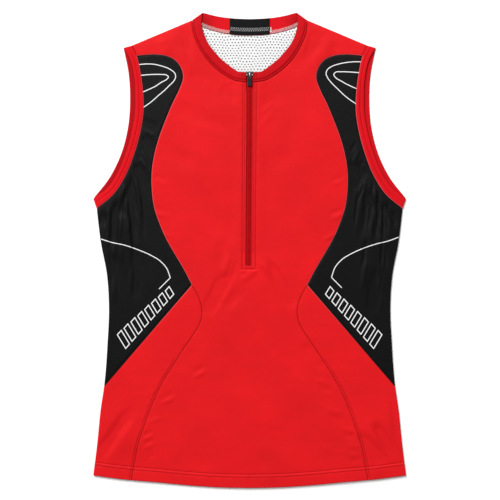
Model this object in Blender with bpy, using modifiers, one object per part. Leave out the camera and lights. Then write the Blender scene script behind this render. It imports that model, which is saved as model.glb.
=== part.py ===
"""Sleeveless cycling top with a half zip, lying flat on its back panel.

+X is the picture's right, +Y runs to the neck and +Z is up, away from the surface it lies on.
"Left" and "right" in the names are the picture's. Sizes are in millimetres until a mesh is made.
"""
import math

import bmesh
import bpy
import numpy as np

MM = 0.001                 # metres in one millimetre

# Cloth
WALL = 1.2                 # one layer of jersey
HEM_WALL = 1.7             # jersey turned up and stitched at the hem
BAND_WALL = 1.6            # binding folded double
PATCH_WALL = 1.0           # facing on the inside of the back neck
HEM_STEP = 3.0             # length of the step from the hem to the single layer
SEAM = 0.32                # space left between pieces at a seam
LAYER_GAP = 0.9            # air between the front and the back where nothing lifts the cloth
LEAST_GAP = 0.35           # the closest that the two layers come
SHOULDER_GAP = 0.32        # the same at the shoulder seams
SHOULDER_SLOPE = (0.5, 14.0)   # where the cloth starts to rise below a shoulder seam, and is up
TAPE_SLOPE = (2.0, 16.0)   # where the cloth starts to come down beside the zip tapes, and is down
ZIP_END_SLOPE = (30.0, 10.0)   # the same below the end of the zip's channel
TURN_ROOM = 2.4            # the back panel's neck corner is cut back by this, clear of the band's turn

# Cut
BAND_WIDTH = 12.6          # armhole binding
BAND_DIP = 2.6             # how much narrower its front shows below the shoulder
BAND_DIP_AT = 264.0        # height of the narrowest place
BAND_DIP_HALF = 48.0       # half the length of that stretch
HEM_DEPTH = 17.0           # turned up at the hem
SIDE_WRAP = 28.0           # how far a side panel runs round on to the back
SPLIT_DROP = 30.0          # how far the slanted seam falls while it runs round on to the back
SPLIT_TRIM = 0.25          # what the slanted seam takes off the lines that end at it
BACK_SEAM_EASE = 20.0      # the back panel's side seam runs straight to the armhole over this last stretch
PATCH_HALF = 29.3          # half the length of the back neck facing
PATCH_INSET = 0.4          # the facing ends this far inside the band's edges
FRONT_COLUMNS = 9
BACK_COLUMNS = 5
WRAP_COLUMNS = 2           # also the rows of the back armhole that a side panel takes up
SIDE_COLUMNS = 15
LOW_SIDE_COLUMNS = 9
BAND_COLUMNS = 3
ROLL_STEPS = 5             # faces round a fold where the cloth turns from front to back

# Outlines of the right half, (x, y), smooth curves through these points
SHOULDER_NECK = (85, 338)
SHOULDER_TIP = (173, 301)
UNDERARM = (225, 61)
SPLIT_SIDE = (214, -199)
SPLIT_TIP = (85, -51)
HEM_SIDE = (230, -331)
NECK_SEAM = [(4, 247), (23, 250), (39, 259), (54, 271), (66, 285), (76, 302), (83, 320), SHOULDER_NECK]
NECK_HIGH = (69, 349.5)
NECK_EDGE = [(4, 261.6), (11, 261.8), (17, 262.5), (24, 266.8), (31, 272), (42, 281), (52, 292), (61, 304),
             (67, 317), (70.5, 332), NECK_HIGH]
BACK_NECK_SEAM = [(0, 316), (24, 317), (47, 321), (68, 328), SHOULDER_NECK]
BACK_NECK_EDGE = [(0, 340), (23, 341), (47, 344), NECK_HIGH]
LOBE_END = (166, 286)
SHOULDER_EDGE = (185.5, 297.5)
UNDERARM_EDGE = (230, 76)
ARMHOLE_SEAM = [SHOULDER_TIP, LOBE_END, (160, 259), (157, 237), (156, 204), (161, 172), (170, 140),
                (182, 110), (200, 82), UNDERARM]
BACK_ARMHOLE_EDGE = [SHOULDER_EDGE, (178, 259), (176, 220), (179, 181), (189, 142), (206, 107), UNDERARM_EDGE]
LOBE_TOP = (143, 288)
BESIDE_UNDERARM = (141, 65)
LOBE_SEAM = [SPLIT_TIP, (97, -28), (110, -6), (123, 17), (133, 40), BESIDE_UNDERARM, (144, 90), (144, 116),
             (140, 142), (133, 167), (124, 191), (114, 215), (103, 238), (98, 254), (101, 268),
             (112, 281), (124, 286), LOBE_TOP]
PRINCESS_SEAM = [(174, -338), (169, -311), (164, -286), (156, -261), (147, -236), (137, -212), (125, -189),
                 (111, -167), (97, -145), (82, -123), (73, -107), (70, -92), (74, -72), SPLIT_TIP]
SIDE_EDGE = [HEM_SIDE, (224, -282), (219, -233), SPLIT_SIDE, (209, -135), (207, -85), (210, -36), (219, 12), UNDERARM]
HEM = [(0, -349.5), (46, -348.5), (92, -345.5), (138, -341), (174, -338), (184, -337), HEM_SIDE]

# Rows of faces on each stretch of the seams, the same on both sides of a seam
LOW_ROWS = 12              # hem to the tip of the slanted seam
UNDERARM_ROWS = 14         # dark side panel, from the slanted seam to the underarm
ARM_ROWS = 15              # dark side panel, from the underarm to its top
LOBE_END_ROWS = 2          # straight top of the lobe
TIP_ROWS = 2               # armhole seam above the lobe, to the shoulder
ZIP_ROWS = 16              # the slit's edges
BACK_ARM_ROWS = 18         # the back armhole
NECK_ROWS = 16             # the neckband's front, on each side
BACK_NECK_ROWS = 8         # the back neck, on each side of the centre
PATCH_COLUMNS = 8          # the facing, along the band
PATCH_ROWS = 3             # the facing, across the band
TAPE_ROWS = 12
TAPE_COLUMNS = 2

# Zip
SLIT = 4.1                 # half the open channel between the two front edges
SLIT_WIDE = 5.0            # the same round the slider and its pull
SLIT_SPREAD = (228.0, 244.0)   # heights between which the channel widens
SLIT_POINT = 0.4           # the centre line ends this far below the channel
SLIT_END = -22.5           # lower end of the channel
TAPE_HALF = 11.0           # half the width of the closed tapes
TAPE_WALL = 1.0
TAPE_PAST_SLIT = 7.0       # how far the tapes run on below the channel
TAPE_TOP = 261.0           # upper end of the tapes, at the neck's edge
SEAT = 0.3                 # clearance between pieces that touch

# Slider and pull, the hinge axis lies along X through its crossbar
HINGE_Y = 259.4
PLATE = (9.2, 10.6, 1.0)   # slider body, width of its upper end along X, length along Y, height
PLATE_FOOT = 6.2           # width of its lower end
PLATE_BEVEL = 0.3
PLATE_Y = 257.4            # middle of the slider body
WIRE = 0.5                 # radius of the pull's loop
ARCH_HALF = 0.8            # half the width of the slider's arch
ARCH_WALL = 0.9
ARCH_REACH = 2.1           # inner half length of the arch
ARCH_CORNER = 0.5          # how far its inner corners are cut, and how deep its feet go into the body
LOOP_HALF = 2.3            # middle of the loop's side bars from the centre line
LOOP_LENGTH = 6.6          # crossbar to the loop's far bar
LOOP_CORNER = 0.9          # how far the loop's corners are cut
GRIP = (6.3, 11.5, 1.8)    # rubber grip, width, length, height
GRIP_BEVEL = 0.7

# Folds of the front layer: a ridge (+) or trough (-) from start to end, half its width, its height
FOLD_SPREAD = 1.8          # a fold reaches this many half widths to each side
FOLD_FADE = (0.3, 0.6)     # shares of its length where it is fully up, and where it starts to go down
FOLDS = [
    {"from": (-177, 108), "to": (-168, 2), "half": 5.0, "height": -2.2},
    {"from": (-168, 12), "to": (-166, -80), "half": 6.0, "height": -0.9},
    {"from": (-195, 76), "to": (-204, -6), "half": 5.0, "height": -2.1},
    {"from": (-202, 0), "to": (-197, -60), "half": 6.0, "height": -0.8},
    {"from": (-185, 88), "to": (-189, 40), "half": 4.0, "height": -1.1},
    {"from": (-169, 130), "to": (-150, 84), "half": 5.0, "height": -1.0},
    {"from": (-160, 190), "to": (-134, 176), "half": 5.0, "height": -0.9},
    {"from": (-158, 168), "to": (-138, 146), "half": 5.0, "height": -0.8},
    {"from": (-211, 58), "to": (-213, 34), "half": 3.5, "height": -1.0},
    {"from": (174, 94), "to": (170, 14), "half": 5.0, "height": -1.7},
    {"from": (184, 84), "to": (187, 8), "half": 4.5, "height": -2.1},
    {"from": (197, 74), "to": (198, 14), "half": 4.5, "height": -1.6},
    {"from": (209, 58), "to": (215, 32), "half": 3.5, "height": -1.0},
    {"from": (172, 120), "to": (152, 100), "half": 5.0, "height": -1.0},
    {"from": (147, 132), "to": (158, 84), "half": 5.0, "height": -1.0},
    {"from": (188, -20), "to": (178, -100), "half": 7.0, "height": -1.2},
    {"from": (-101, 332), "to": (-94, 286), "half": 9.0, "height": -0.8},
    {"from": (101, 326), "to": (96, 284), "half": 9.0, "height": -0.8},
    {"from": (-116, 216), "to": (-20, 172), "half": 9.0, "height": -0.9},
    {"from": (-136, 156), "to": (-76, 122), "half": 9.0, "height": -0.9},
    {"from": (-44, 242), "to": (-14, 212), "half": 7.0, "height": -0.7},
    {"from": (20, 210), "to": (42, 232), "half": 7.0, "height": -0.6},
    {"from": (-68, -98), "to": (-24, -26), "half": 8.0, "height": -1.8},
    {"from": (-40, -90), "to": (-9, -54), "half": 7.0, "height": -0.9},
    {"from": (26, -18), "to": (68, -92), "half": 8.0, "height": -1.8},
    {"from": (-176, -230), "to": (-226, -308), "half": 8.0, "height": -2.0},
    {"from": (-166, -246), "to": (-214, -318), "half": 9.0, "height": 1.3},
    {"from": (168, -244), "to": (220, -316), "half": 8.0, "height": 1.3},
    {"from": (158, -264), "to": (206, -318), "half": 7.0, "height": -1.4},
    {"from": (180, -240), "to": (222, -292), "half": 8.0, "height": -1.6},
    {"from": (76, -136), "to": (114, -176), "half": 8.0, "height": -1.0},
]

# Soft rises of the front layer: centre, half length along X and Y, height
SWELLS = [
    {"at": (-190, 40), "size": (46, 110), "height": 1.9},
    {"at": (190, 40), "size": (46, 110), "height": 1.8},
    {"at": (0, -60), "size": (95, 90), "height": 1.4},
    {"at": (-70, 150), "size": (80, 90), "height": 0.9},
    {"at": (70, 160), "size": (80, 90), "height": 0.8},
    {"at": (-190, -270), "size": (60, 60), "height": 1.4},
    {"at": (190, -270), "size": (60, 60), "height": 1.4},
    {"at": (0, -250), "size": (150, 70), "height": 0.5},
    {"at": (-98, 300), "size": (34, 40), "height": 0.7},
    {"at": (98, 300), "size": (34, 40), "height": 0.7},
]


def clear_scene():
    """Removes what the file starts with."""
    for item in list(bpy.data.objects):
        bpy.data.objects.remove(item)


def smooth(points, samples=400):
    """Points along a smooth curve through the given ones, with its tangents from their neighbours."""
    knots = np.array(points, float)
    length = np.concatenate([[0.0], np.cumsum(np.linalg.norm(np.diff(knots, axis=0), axis=1))])
    tangents = np.gradient(knots, length, axis=0)
    where = np.linspace(0, length[-1], samples)
    i = np.clip(np.searchsorted(length, where, side="right") - 1, 0, len(knots) - 2)
    span = (length[i + 1] - length[i])[:, None]
    u = (where - length[i])[:, None] / span
    return ((2 * u ** 3 - 3 * u ** 2 + 1) * knots[i] + (u ** 3 - 2 * u ** 2 + u) * span * tangents[i]
            + (3 * u ** 2 - 2 * u ** 3) * knots[i + 1] + (u ** 3 - u ** 2) * span * tangents[i + 1])


def spaced(points, count):
    """The same line with the given number of faces along it, evenly spaced by length."""
    run = np.concatenate([[0.0], np.cumsum(np.linalg.norm(np.diff(points, axis=0), axis=1))])
    where = np.linspace(0, run[-1], count + 1)
    return np.stack([np.interp(where, run, points[:, k]) for k in range(points.shape[1])], axis=1)


def normals(points):
    """Unit vectors to the left of a line's direction."""
    way = np.gradient(points, axis=0)
    way /= np.linalg.norm(way, axis=1)[:, None]
    return np.stack([-way[:, 1], way[:, 0]], axis=1)


def shifted(points, distance):
    """The line moved sideways, to the left of its direction where the distance is positive."""
    return points + normals(points) * distance


def trimmed(points, start, end):
    """The line shortened by a length at its start and at its end."""
    run = np.concatenate([[0.0], np.cumsum(np.linalg.norm(np.diff(points, axis=0), axis=1))])
    where = np.concatenate([[start], run[(run > start) & (run < run[-1] - end)], [run[-1] - end]])
    return np.stack([np.interp(where, run, points[:, k]) for k in range(points.shape[1])], axis=1)


def part_of(points, first, last):
    """The stretch of a line between its nearest points to two places."""
    i, j = (int(np.argmin(np.linalg.norm(points - np.array(place, float), axis=1))) for place in (first, last))
    return points[i:j + 1] if i <= j else points[j:i + 1][::-1]


def ruled(inner, outer, columns):
    """Rows of points on straight lines from each inner point to its outer partner."""
    t = np.linspace(0, 1, columns + 1)[None, :, None]
    return inner[:, None] * (1 - t) + outer[:, None] * t


def wall_at(y, x):
    """Wall thickness: the hem is turned up, so it is thicker there, with a soft step."""
    edge = np.interp(np.abs(x), [p[0] for p in HEM], [p[1] for p in HEM])
    return HEM_WALL + (WALL - HEM_WALL) * ramp(y - edge, HEM_DEPTH, HEM_DEPTH + HEM_STEP)


def bell(distance):
    """One at zero, falling softly to nothing at one and beyond."""
    t = np.clip(1 - distance ** 2, 0, None)
    return t * t


def ramp(value, low, high):
    """Soft step from 0 at the low value to 1 at the high one."""
    t = np.clip((value - low) / (high - low), 0, 1)
    return t * t * (3 - 2 * t)


def fold_height(x, y, fold):
    """Height of one fold: a bell across it, which fades out along both of its ends."""
    start = np.array(fold["from"], float)
    way = np.array(fold["to"], float) - start
    length = np.linalg.norm(way)
    way /= length
    along = ((x - start[0]) * way[0] + (y - start[1]) * way[1]) / length
    across = (x - start[0]) * way[1] - (y - start[1]) * way[0]
    fade = ramp(along, 0, FOLD_FADE[0]) * (1 - ramp(along, FOLD_FADE[1], 1))
    return fold["height"] * fade * bell(across / (FOLD_SPREAD * fold["half"]))


def rise(x, y):
    """Air under the front layer: the swells and folds, held down at the shoulders, up over the zip tapes."""
    gap = LAYER_GAP + 0 * x
    for swell in SWELLS:
        far = np.hypot((x - swell["at"][0]) / swell["size"][0], (y - swell["at"][1]) / swell["size"][1])
        gap = gap + swell["height"] * bell(far)
    for fold in FOLDS:
        gap = gap + fold_height(x, y, fold)
    over_tape = SEAT + TAPE_WALL + SEAT
    beside = 1 - ramp(np.abs(x) - TAPE_HALF, *TAPE_SLOPE)
    beside = beside * ramp(y, SLIT_END - ZIP_END_SLOPE[0], SLIT_END - ZIP_END_SLOPE[1])
    gap = np.maximum(gap, LEAST_GAP)
    gap = gap + beside * (np.maximum(gap, over_tape) - gap)
    ax, ay = SHOULDER_NECK
    bx, by = SHOULDER_TIP
    below = ((by - ay) * (np.abs(x) - ax) - (bx - ax) * (y - ay)) / math.hypot(bx - ax, by - ay)
    down = 1 - ramp(below, *SHOULDER_SLOPE)
    return gap + down * (SHOULDER_GAP - gap)


def layer(x, y, wall):
    """Thickness of a piece at a place: a panel's grows at the hem, a binding's is even."""
    return wall_at(y, x) if wall == WALL else wall + 0 * x


def front_height(x, y, wall):
    """Middle of the front layer's wall, which lies over a back layer of the same thickness."""
    return 1.5 * layer(x, y, wall) + rise(x, y)


def back_height(x, y, wall):
    """Middle of the back layer's wall, which lies on the surface."""
    return layer(x, y, wall) / 2


def laid(grid, height, wall=WALL):
    """Gives a flat grid of (x, y) its heights."""
    return np.concatenate([grid, height(grid[..., 0], grid[..., 1], wall)[..., None]], axis=-1)


def turned(edge, outward, wall):
    """Half a turn of cloth from the front layer to the back one, inside an edge seen from the front.

    Gives the turn's axis, seen from above, and its points, a row for each point of the edge."""
    upper = front_height(edge[:, 0], edge[:, 1], wall)
    lower = back_height(edge[:, 0], edge[:, 1], wall)
    radius = (upper - lower) / 2
    axis = edge - outward * (radius + layer(edge[:, 0], edge[:, 1], wall) / 2)[:, None]
    angle = np.linspace(0, math.pi, ROLL_STEPS + 1)
    flat = axis[:, None] + outward[:, None] * (radius[:, None] * np.sin(angle))[..., None]
    tall = ((upper + lower) / 2)[:, None] + radius[:, None] * np.cos(angle)
    return axis, np.concatenate([flat, tall[..., None]], axis=-1)


def sided(grid, side):
    """The grid on the picture's right (+1), or mirrored to its left (-1) before its heights are given."""
    return grid * np.array([side, 1.0])


def collection_of(name, hidden=False):
    """A collection in the scene."""
    group = bpy.data.collections.new(name)
    bpy.context.scene.collection.children.link(group)
    group.hide_render = hidden
    return group


def material(name, colour, roughness, metallic=0.0):
    """A plain Principled material."""
    made = bpy.data.materials.new(name)
    made.use_nodes = True
    shader = made.node_tree.nodes["Principled BSDF"]
    shader.inputs["Base Color"].default_value = (*colour, 1)
    shader.inputs["Roughness"].default_value = roughness
    shader.inputs["Metallic"].default_value = metallic
    return made


def place(name, mesh, group, finish):
    """Puts a mesh in the scene as a named object."""
    made = bpy.data.objects.new(name, mesh)
    made.data.materials.append(finish)
    group.objects.link(made)
    return made


def cloth(name, grids, group, finish, wall=WALL, side=1):
    """A cloth piece: its grids are joined where they meet and given their wall, half on each side."""
    shape = bmesh.new()
    weight = []
    for grid in grids:
        rows, columns = grid.shape[:2]
        verts = [[shape.verts.new(grid[i, j] * MM) for j in range(columns)] for i in range(rows)]
        for i in range(rows - 1):
            for j in range(columns - 1):
                corners = [verts[i][j], verts[i][j + 1], verts[i + 1][j + 1], verts[i + 1][j]]
                shape.faces.new(corners if side > 0 else corners[::-1])
    bmesh.ops.remove_doubles(shape, verts=shape.verts, dist=0.00002)
    shape.verts.ensure_lookup_table()
    mesh = bpy.data.meshes.new(name)
    shape.to_mesh(mesh)
    shape.free()
    made = place(name, mesh, group, finish)
    thick = HEM_WALL if wall == WALL else wall
    solid = made.modifiers.new("wall", "SOLIDIFY")
    solid.thickness = thick * MM
    solid.offset = 0
    if wall == WALL:
        group_of = made.vertex_groups.new(name="wall")
        for vertex in mesh.vertices:
            x, y = vertex.co.x / MM, vertex.co.y / MM
            group_of.add([vertex.index], float(wall_at(np.array(y), np.array(x)) / HEM_WALL), "REPLACE")
        solid.vertex_group = group_of.name
    mesh.shade_smooth()
    return made


def hem_row(grid):
    """Puts a grid's first row on the hem's edge."""
    hem = smooth(HEM)
    grid[0, :, 1] = np.interp(grid[0, :, 0], hem[:, 0], hem[:, 1])
    return grid


def princess_rows():
    """The front seam that both side panels share: hem to tip, then tip to the top of the lobe."""
    lobe = smooth(LOBE_SEAM)
    below = spaced(part_of(lobe, SPLIT_TIP, BESIDE_UNDERARM), UNDERARM_ROWS)
    above = spaced(part_of(lobe, BESIDE_UNDERARM, LOBE_TOP), ARM_ROWS)
    return spaced(smooth(PRINCESS_SEAM), LOW_ROWS), np.concatenate([below, above[1:]])


def armhole_rows():
    """The front armhole seam, from the shoulder to the underarm."""
    seam = smooth(ARMHOLE_SEAM)
    tip = spaced(part_of(seam, SHOULDER_TIP, LOBE_END), TIP_ROWS)
    return np.concatenate([tip, spaced(part_of(seam, LOBE_END, UNDERARM), ARM_ROWS)[1:]])


def slit_half(y):
    """Half the width of the zip's channel, which widens round the slider."""
    return SLIT + (SLIT_WIDE - SLIT) * ramp(y, *SLIT_SPREAD)


def front_half(side):
    """Half of the front, ruled from the centre, slit and neck to the princess seam, lobe and armhole."""
    low, lobe = princess_rows()
    top = spaced(np.array([LOBE_TOP, LOBE_END], float), LOBE_END_ROWS)
    outer = np.concatenate([low, lobe[1:], top[1:], armhole_rows()[::-1][-TIP_ROWS:]])
    corner = len(low) + len(lobe) + LOBE_END_ROWS - 2
    moved = shifted(outer, SEAM / 2)
    moved[corner] = outer[corner] + np.array([-1.0, 1.0]) * SEAM / 2
    centre_rows = len(outer) - ZIP_ROWS - NECK_ROWS - 2
    centre_y = np.linspace(HEM[0][1], SLIT_END - SLIT_POINT, centre_rows + 1)
    centre = np.stack([np.zeros(centre_rows + 1), centre_y], axis=1)
    top_of_slit = NECK_SEAM[0][1] - SEAM / 2
    slit_y = np.linspace(SLIT_END, top_of_slit, ZIP_ROWS + 1)
    slit = np.stack([slit_half(slit_y), slit_y], axis=1)
    neck = shifted(spaced(smooth(NECK_SEAM), NECK_ROWS), -SEAM / 2)[1:]
    grid = ruled(np.concatenate([centre, slit, neck]), moved, FRONT_COLUMNS)
    return laid(sided(hem_row(grid), side), front_height)


def front_panel(group, finish):
    """The front: one piece below the zip, two edges beside it above."""
    cloth("front_panel", [front_half(1), front_half(-1)[:, ::-1]], group, finish)


def back_armhole_seam():
    """Where the back panel and the side panel meet the back half of the armhole binding."""
    edge = smooth(BACK_ARMHOLE_EDGE)
    inside = shifted(edge, -BAND_WIDTH)
    share = np.linspace(0, 1, len(inside))[:, None]
    start = np.array(SHOULDER_TIP) - inside[0]
    end = np.array(UNDERARM) - inside[-1]
    return spaced(inside + start * (1 - share) ** 6 + end * share ** 6, BACK_ARM_ROWS)


def side_back_rows():
    """Where a side panel meets the back panel: hem to slanted seam, then slanted seam to armhole."""
    seam = shifted(smooth(SIDE_EDGE), SIDE_WRAP)
    arm = back_armhole_seam()[-1 - WRAP_COLUMNS]
    seam = seam[seam[:, 1] < arm[1] - BACK_SEAM_EASE]
    seam = np.concatenate([seam, [arm]])
    hem = smooth(HEM)
    seam[0, 1] = np.interp(seam[0, 0], hem[:, 0], hem[:, 1])
    split = int(np.argmin(np.abs(seam[:, 1] - (SPLIT_SIDE[1] - SPLIT_DROP))))
    return spaced(seam[:split + 1], LOW_ROWS), spaced(seam[split:], UNDERARM_ROWS)


def back_panel(group, finish):
    """The mesh back, flat on the surface, from the hem to the neck and the shoulders."""
    low, high = side_back_rows()
    side = shifted(np.concatenate([low, high[1:]]), SEAM / 2)
    upper = shifted(back_armhole_seam()[::-1], SEAM / 2)[WRAP_COLUMNS:]
    side[-1] = upper[0] + (-SEAM / 2, 0)
    outer = np.concatenate([side, upper[1:]])
    neck = shifted(spaced(smooth(BACK_NECK_SEAM), BACK_NECK_ROWS), -SEAM / 2)
    shoulder = np.array(SHOULDER_TIP, float) - SHOULDER_NECK
    neck[-1] += shoulder / np.linalg.norm(shoulder) * TURN_ROOM
    rows = len(outer) - len(neck)
    centre = np.stack([np.zeros(rows + 1), np.linspace(HEM[0][1], neck[0, 1], rows + 1)], axis=1)
    half = hem_row(ruled(np.concatenate([centre, neck[1:]]), outer, BACK_COLUMNS))
    grids = [laid(half, back_height), laid(sided(half, -1), back_height)[:, ::-1]]
    cloth("back_panel", grids, group, finish)


def side_panel(name, side, inner, edge, back, above, columns, group, finish):
    """A side panel: ruled out to the side fold, or to the armhole seam above it, and wrapped on to the back.

    Above holds the rows of the front armhole seam, none on the lower panel."""
    way = -normals(edge)
    flipped = sided(edge, side), sided(way, side)
    axis, turn = turned(*flipped, WALL)
    outer = np.concatenate([sided(axis, side), above])
    front = laid(sided(ruled(inner, outer, columns), side), front_height)
    front[:len(edge), -1] = turn[:, 0]
    flat = ruled(sided(axis, side), back, WRAP_COLUMNS)
    if len(above):
        flat[-1, 1:] = shifted(back_armhole_seam(), -SEAM / 2)[::-1][1:WRAP_COLUMNS + 1]
    under = laid(sided(flat, side), back_height)
    under[:, 0] = turn[:, -1]
    cloth(name, [front, turn, under], group, finish, side=side)


def side_upper(side, name, group, finish):
    """The dark side panel, from the slanted seam to the armhole and the lobe on the chest."""
    inner = shifted(trimmed(princess_rows()[1], SPLIT_TRIM, 0), -SEAM / 2)
    edge = spaced(trimmed(part_of(smooth(SIDE_EDGE), SPLIT_SIDE, UNDERARM), SPLIT_TRIM, SEAM / 2), UNDERARM_ROWS)
    seam = armhole_rows()[TIP_ROWS:][::-1]
    above = shifted(seam, SEAM / 2)[1:]
    above[-1] = seam[-1] + (0, -SEAM / 2)
    back = shifted(trimmed(side_back_rows()[1], SPLIT_TRIM, SEAM), -SEAM / 2)
    side_panel(name, side, inner, edge, back, above, SIDE_COLUMNS, group, finish)


def side_lower(side, name, group, finish):
    """The side panel below the slanted seam, down to the hem."""
    inner = shifted(trimmed(princess_rows()[0], 0, SPLIT_TRIM), -SEAM / 2)
    edge = spaced(trimmed(part_of(smooth(SIDE_EDGE), HEM_SIDE, SPLIT_SIDE), 0, SPLIT_TRIM), LOW_ROWS)
    back = shifted(trimmed(side_back_rows()[0], 0, SPLIT_TRIM), -SEAM / 2)
    side_panel(name, side, inner, edge, back, np.zeros((0, 2)), LOW_SIDE_COLUMNS, group, finish)


def across(first, second, columns):
    """Points on the straight line between two places, and the unit vector to the left of it."""
    line = ruled(np.array([first], float), np.array([second], float), columns)[0]
    way = (line[-1] - line[0]) / np.linalg.norm(line[-1] - line[0])
    return line, np.tile([-way[1], way[0]], (columns + 1, 1))


def fitted(line, start, end):
    """A line whose ends are eased to two places, with little change in between."""
    share = np.linspace(0, 1, len(line))[:, None]
    return line + (np.array(start) - line[0]) * (1 - share) ** 8 + (np.array(end) - line[-1]) * share ** 8


def armhole_band(side, name, group, finish):
    """The binding of an armhole: front stretch, turn at the underarm, back stretch, turn at the shoulder."""
    seam = armhole_rows()
    width = BAND_WIDTH - BAND_DIP * bell((seam[:, 1] - BAND_DIP_AT) / BAND_DIP_HALF)
    rim = fitted(shifted(seam, width[:, None]), SHOULDER_EDGE, UNDERARM_EDGE)
    front = ruled(shifted(seam, SEAM / 2), rim, BAND_COLUMNS)
    back_seam = shifted(back_armhole_seam(), SEAM / 2)
    back_rim = spaced(smooth(BACK_ARMHOLE_EDGE), BACK_ARM_ROWS)
    back = ruled(back_seam, back_rim, BAND_COLUMNS)[::-1]
    low, low_way = across(np.array(UNDERARM) + (0, SEAM / 2), UNDERARM_EDGE, BAND_COLUMNS)
    high, high_way = across(np.array(SHOULDER_TIP) + (SEAM / 2, 0), SHOULDER_EDGE, BAND_COLUMNS)
    low_axis, low_turn = turned(sided(low, side), sided(-low_way, side), BAND_WALL)
    high_axis, high_turn = turned(sided(high, side), sided(high_way, side), BAND_WALL)
    front[0], front[-1] = sided(high_axis, side), sided(low_axis, side)
    back[0], back[-1] = sided(low_axis, side), sided(high_axis, side)
    over = laid(sided(front, side), front_height, BAND_WALL)
    under = laid(sided(back, side), back_height, BAND_WALL)
    over[0], over[-1] = high_turn[:, 0], low_turn[:, 0]
    under[0], under[-1] = low_turn[:, -1], high_turn[:, -1]
    grids = [over, low_turn.transpose(1, 0, 2), under, high_turn.transpose(1, 0, 2)[::-1]]
    cloth(name, grids, group, finish, BAND_WALL, side)


def neckband_half(side):
    """Half of the neckband: front stretch from the zip, turn at the shoulder, back stretch to the centre."""
    seam = shifted(spaced(smooth(NECK_SEAM), NECK_ROWS), SEAM / 2)
    front = ruled(seam, spaced(smooth(NECK_EDGE), NECK_ROWS), BAND_COLUMNS)
    front[0, :, 0] = SLIT_WIDE
    back_seam = shifted(spaced(smooth(BACK_NECK_SEAM), BACK_NECK_ROWS), SEAM / 2)[::-1]
    back = ruled(back_seam, spaced(smooth(BACK_NECK_EDGE), BACK_NECK_ROWS)[::-1], BAND_COLUMNS)
    line, way = across(np.array(SHOULDER_NECK) + (0, SEAM / 2), NECK_HIGH, BAND_COLUMNS)
    axis, turn = turned(sided(line, side), sided(-way, side), BAND_WALL)
    front[-1] = sided(axis, side)
    back[0] = sided(axis, side)
    back[-1, :, 0] = 0
    over = laid(sided(front, side), front_height, BAND_WALL)
    under = laid(sided(back, side), back_height, BAND_WALL)
    over[-1], under[0] = turn[:, 0], turn[:, -1]
    return [over, turn.transpose(1, 0, 2), under]


def neckband(group, finish):
    """The neckband, from one side of the zip round the neck to the other."""
    grids = neckband_half(1) + [grid[:, ::-1] for grid in neckband_half(-1)]
    cloth("neckband", grids, group, finish, BAND_WALL)


def neck_patch(group, finish):
    """The dark facing on the inside of the band, at the centre of the back neck."""
    x = np.linspace(-PATCH_HALF, PATCH_HALF, PATCH_COLUMNS + 1)
    seam, edge = smooth(BACK_NECK_SEAM), smooth(BACK_NECK_EDGE)
    low = np.stack([x, np.interp(np.abs(x), seam[:, 0], seam[:, 1]) + PATCH_INSET], axis=1)
    high = np.stack([x, np.interp(np.abs(x), edge[:, 0], edge[:, 1]) - PATCH_INSET], axis=1)
    flat = ruled(low, high, PATCH_ROWS)
    height = np.full(flat.shape[:2] + (1,), BAND_WALL + SEAT + PATCH_WALL / 2)
    cloth("neck_patch", [np.concatenate([flat, height], axis=-1)], group, finish, PATCH_WALL, -1)


def zip_tape(side, name, group, finish):
    """One tape of the closed zip with its coil behind it, under the front's edge."""
    y = np.linspace(SLIT_END - TAPE_PAST_SLIT, TAPE_TOP, TAPE_ROWS + 1)
    near = np.stack([0 * y + SEAM / 2, y], axis=1)
    far = np.stack([0 * y + TAPE_HALF, y], axis=1)
    flat = sided(ruled(near, far, TAPE_COLUMNS), side)
    height = np.full(flat.shape[:2] + (1,), WALL + SEAT + TAPE_WALL / 2)
    cloth(name, [np.concatenate([flat, height], axis=-1)], group, finish, TAPE_WALL, side)


def box(name, size, middle, group, finish, bevel=0.0):
    """A box with its real size, rounded by a bevel."""
    bpy.ops.mesh.primitive_cube_add(size=1)
    made = bpy.context.active_object
    made.name = name
    made.data.name = name
    made.data.transform(bpy.data.objects[name].matrix_world)
    for vertex in made.data.vertices:
        vertex.co = [vertex.co[k] * size[k] * MM for k in range(3)]
    made.location = [part * MM for part in middle]
    for owner in list(made.users_collection):
        owner.objects.unlink(made)
    group.objects.link(made)
    made.data.materials.append(finish)
    if bevel:
        edge = made.modifiers.new("bevel", "BEVEL")
        edge.width = bevel * MM
        edge.segments = 2
    made.data.shade_smooth()
    return made


def wire(name, points, radius, middle, group, finish, closed=False):
    """A round wire through points given from a middle, which becomes its origin."""
    curve = bpy.data.curves.new(name, "CURVE")
    curve.dimensions = "3D"
    curve.bevel_depth = radius * MM
    curve.bevel_resolution = 2
    curve.use_fill_caps = True
    line = curve.splines.new("POLY")
    line.points.add(len(points) - 1)
    for point, place_of in zip(line.points, points):
        point.co = [part * MM for part in place_of] + [1]
    line.use_cyclic_u = closed
    made = place(name, curve, group, finish)
    made.location = [part * MM for part in middle]
    return made


def plate_top():
    """Height of the slider body's top."""
    return WALL + SEAT + TAPE_WALL + SEAT + PLATE[2]


def hinge():
    """Middle of the pull's crossbar."""
    return (0.0, HINGE_Y, plate_top() + SEAT + WIRE)


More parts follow.
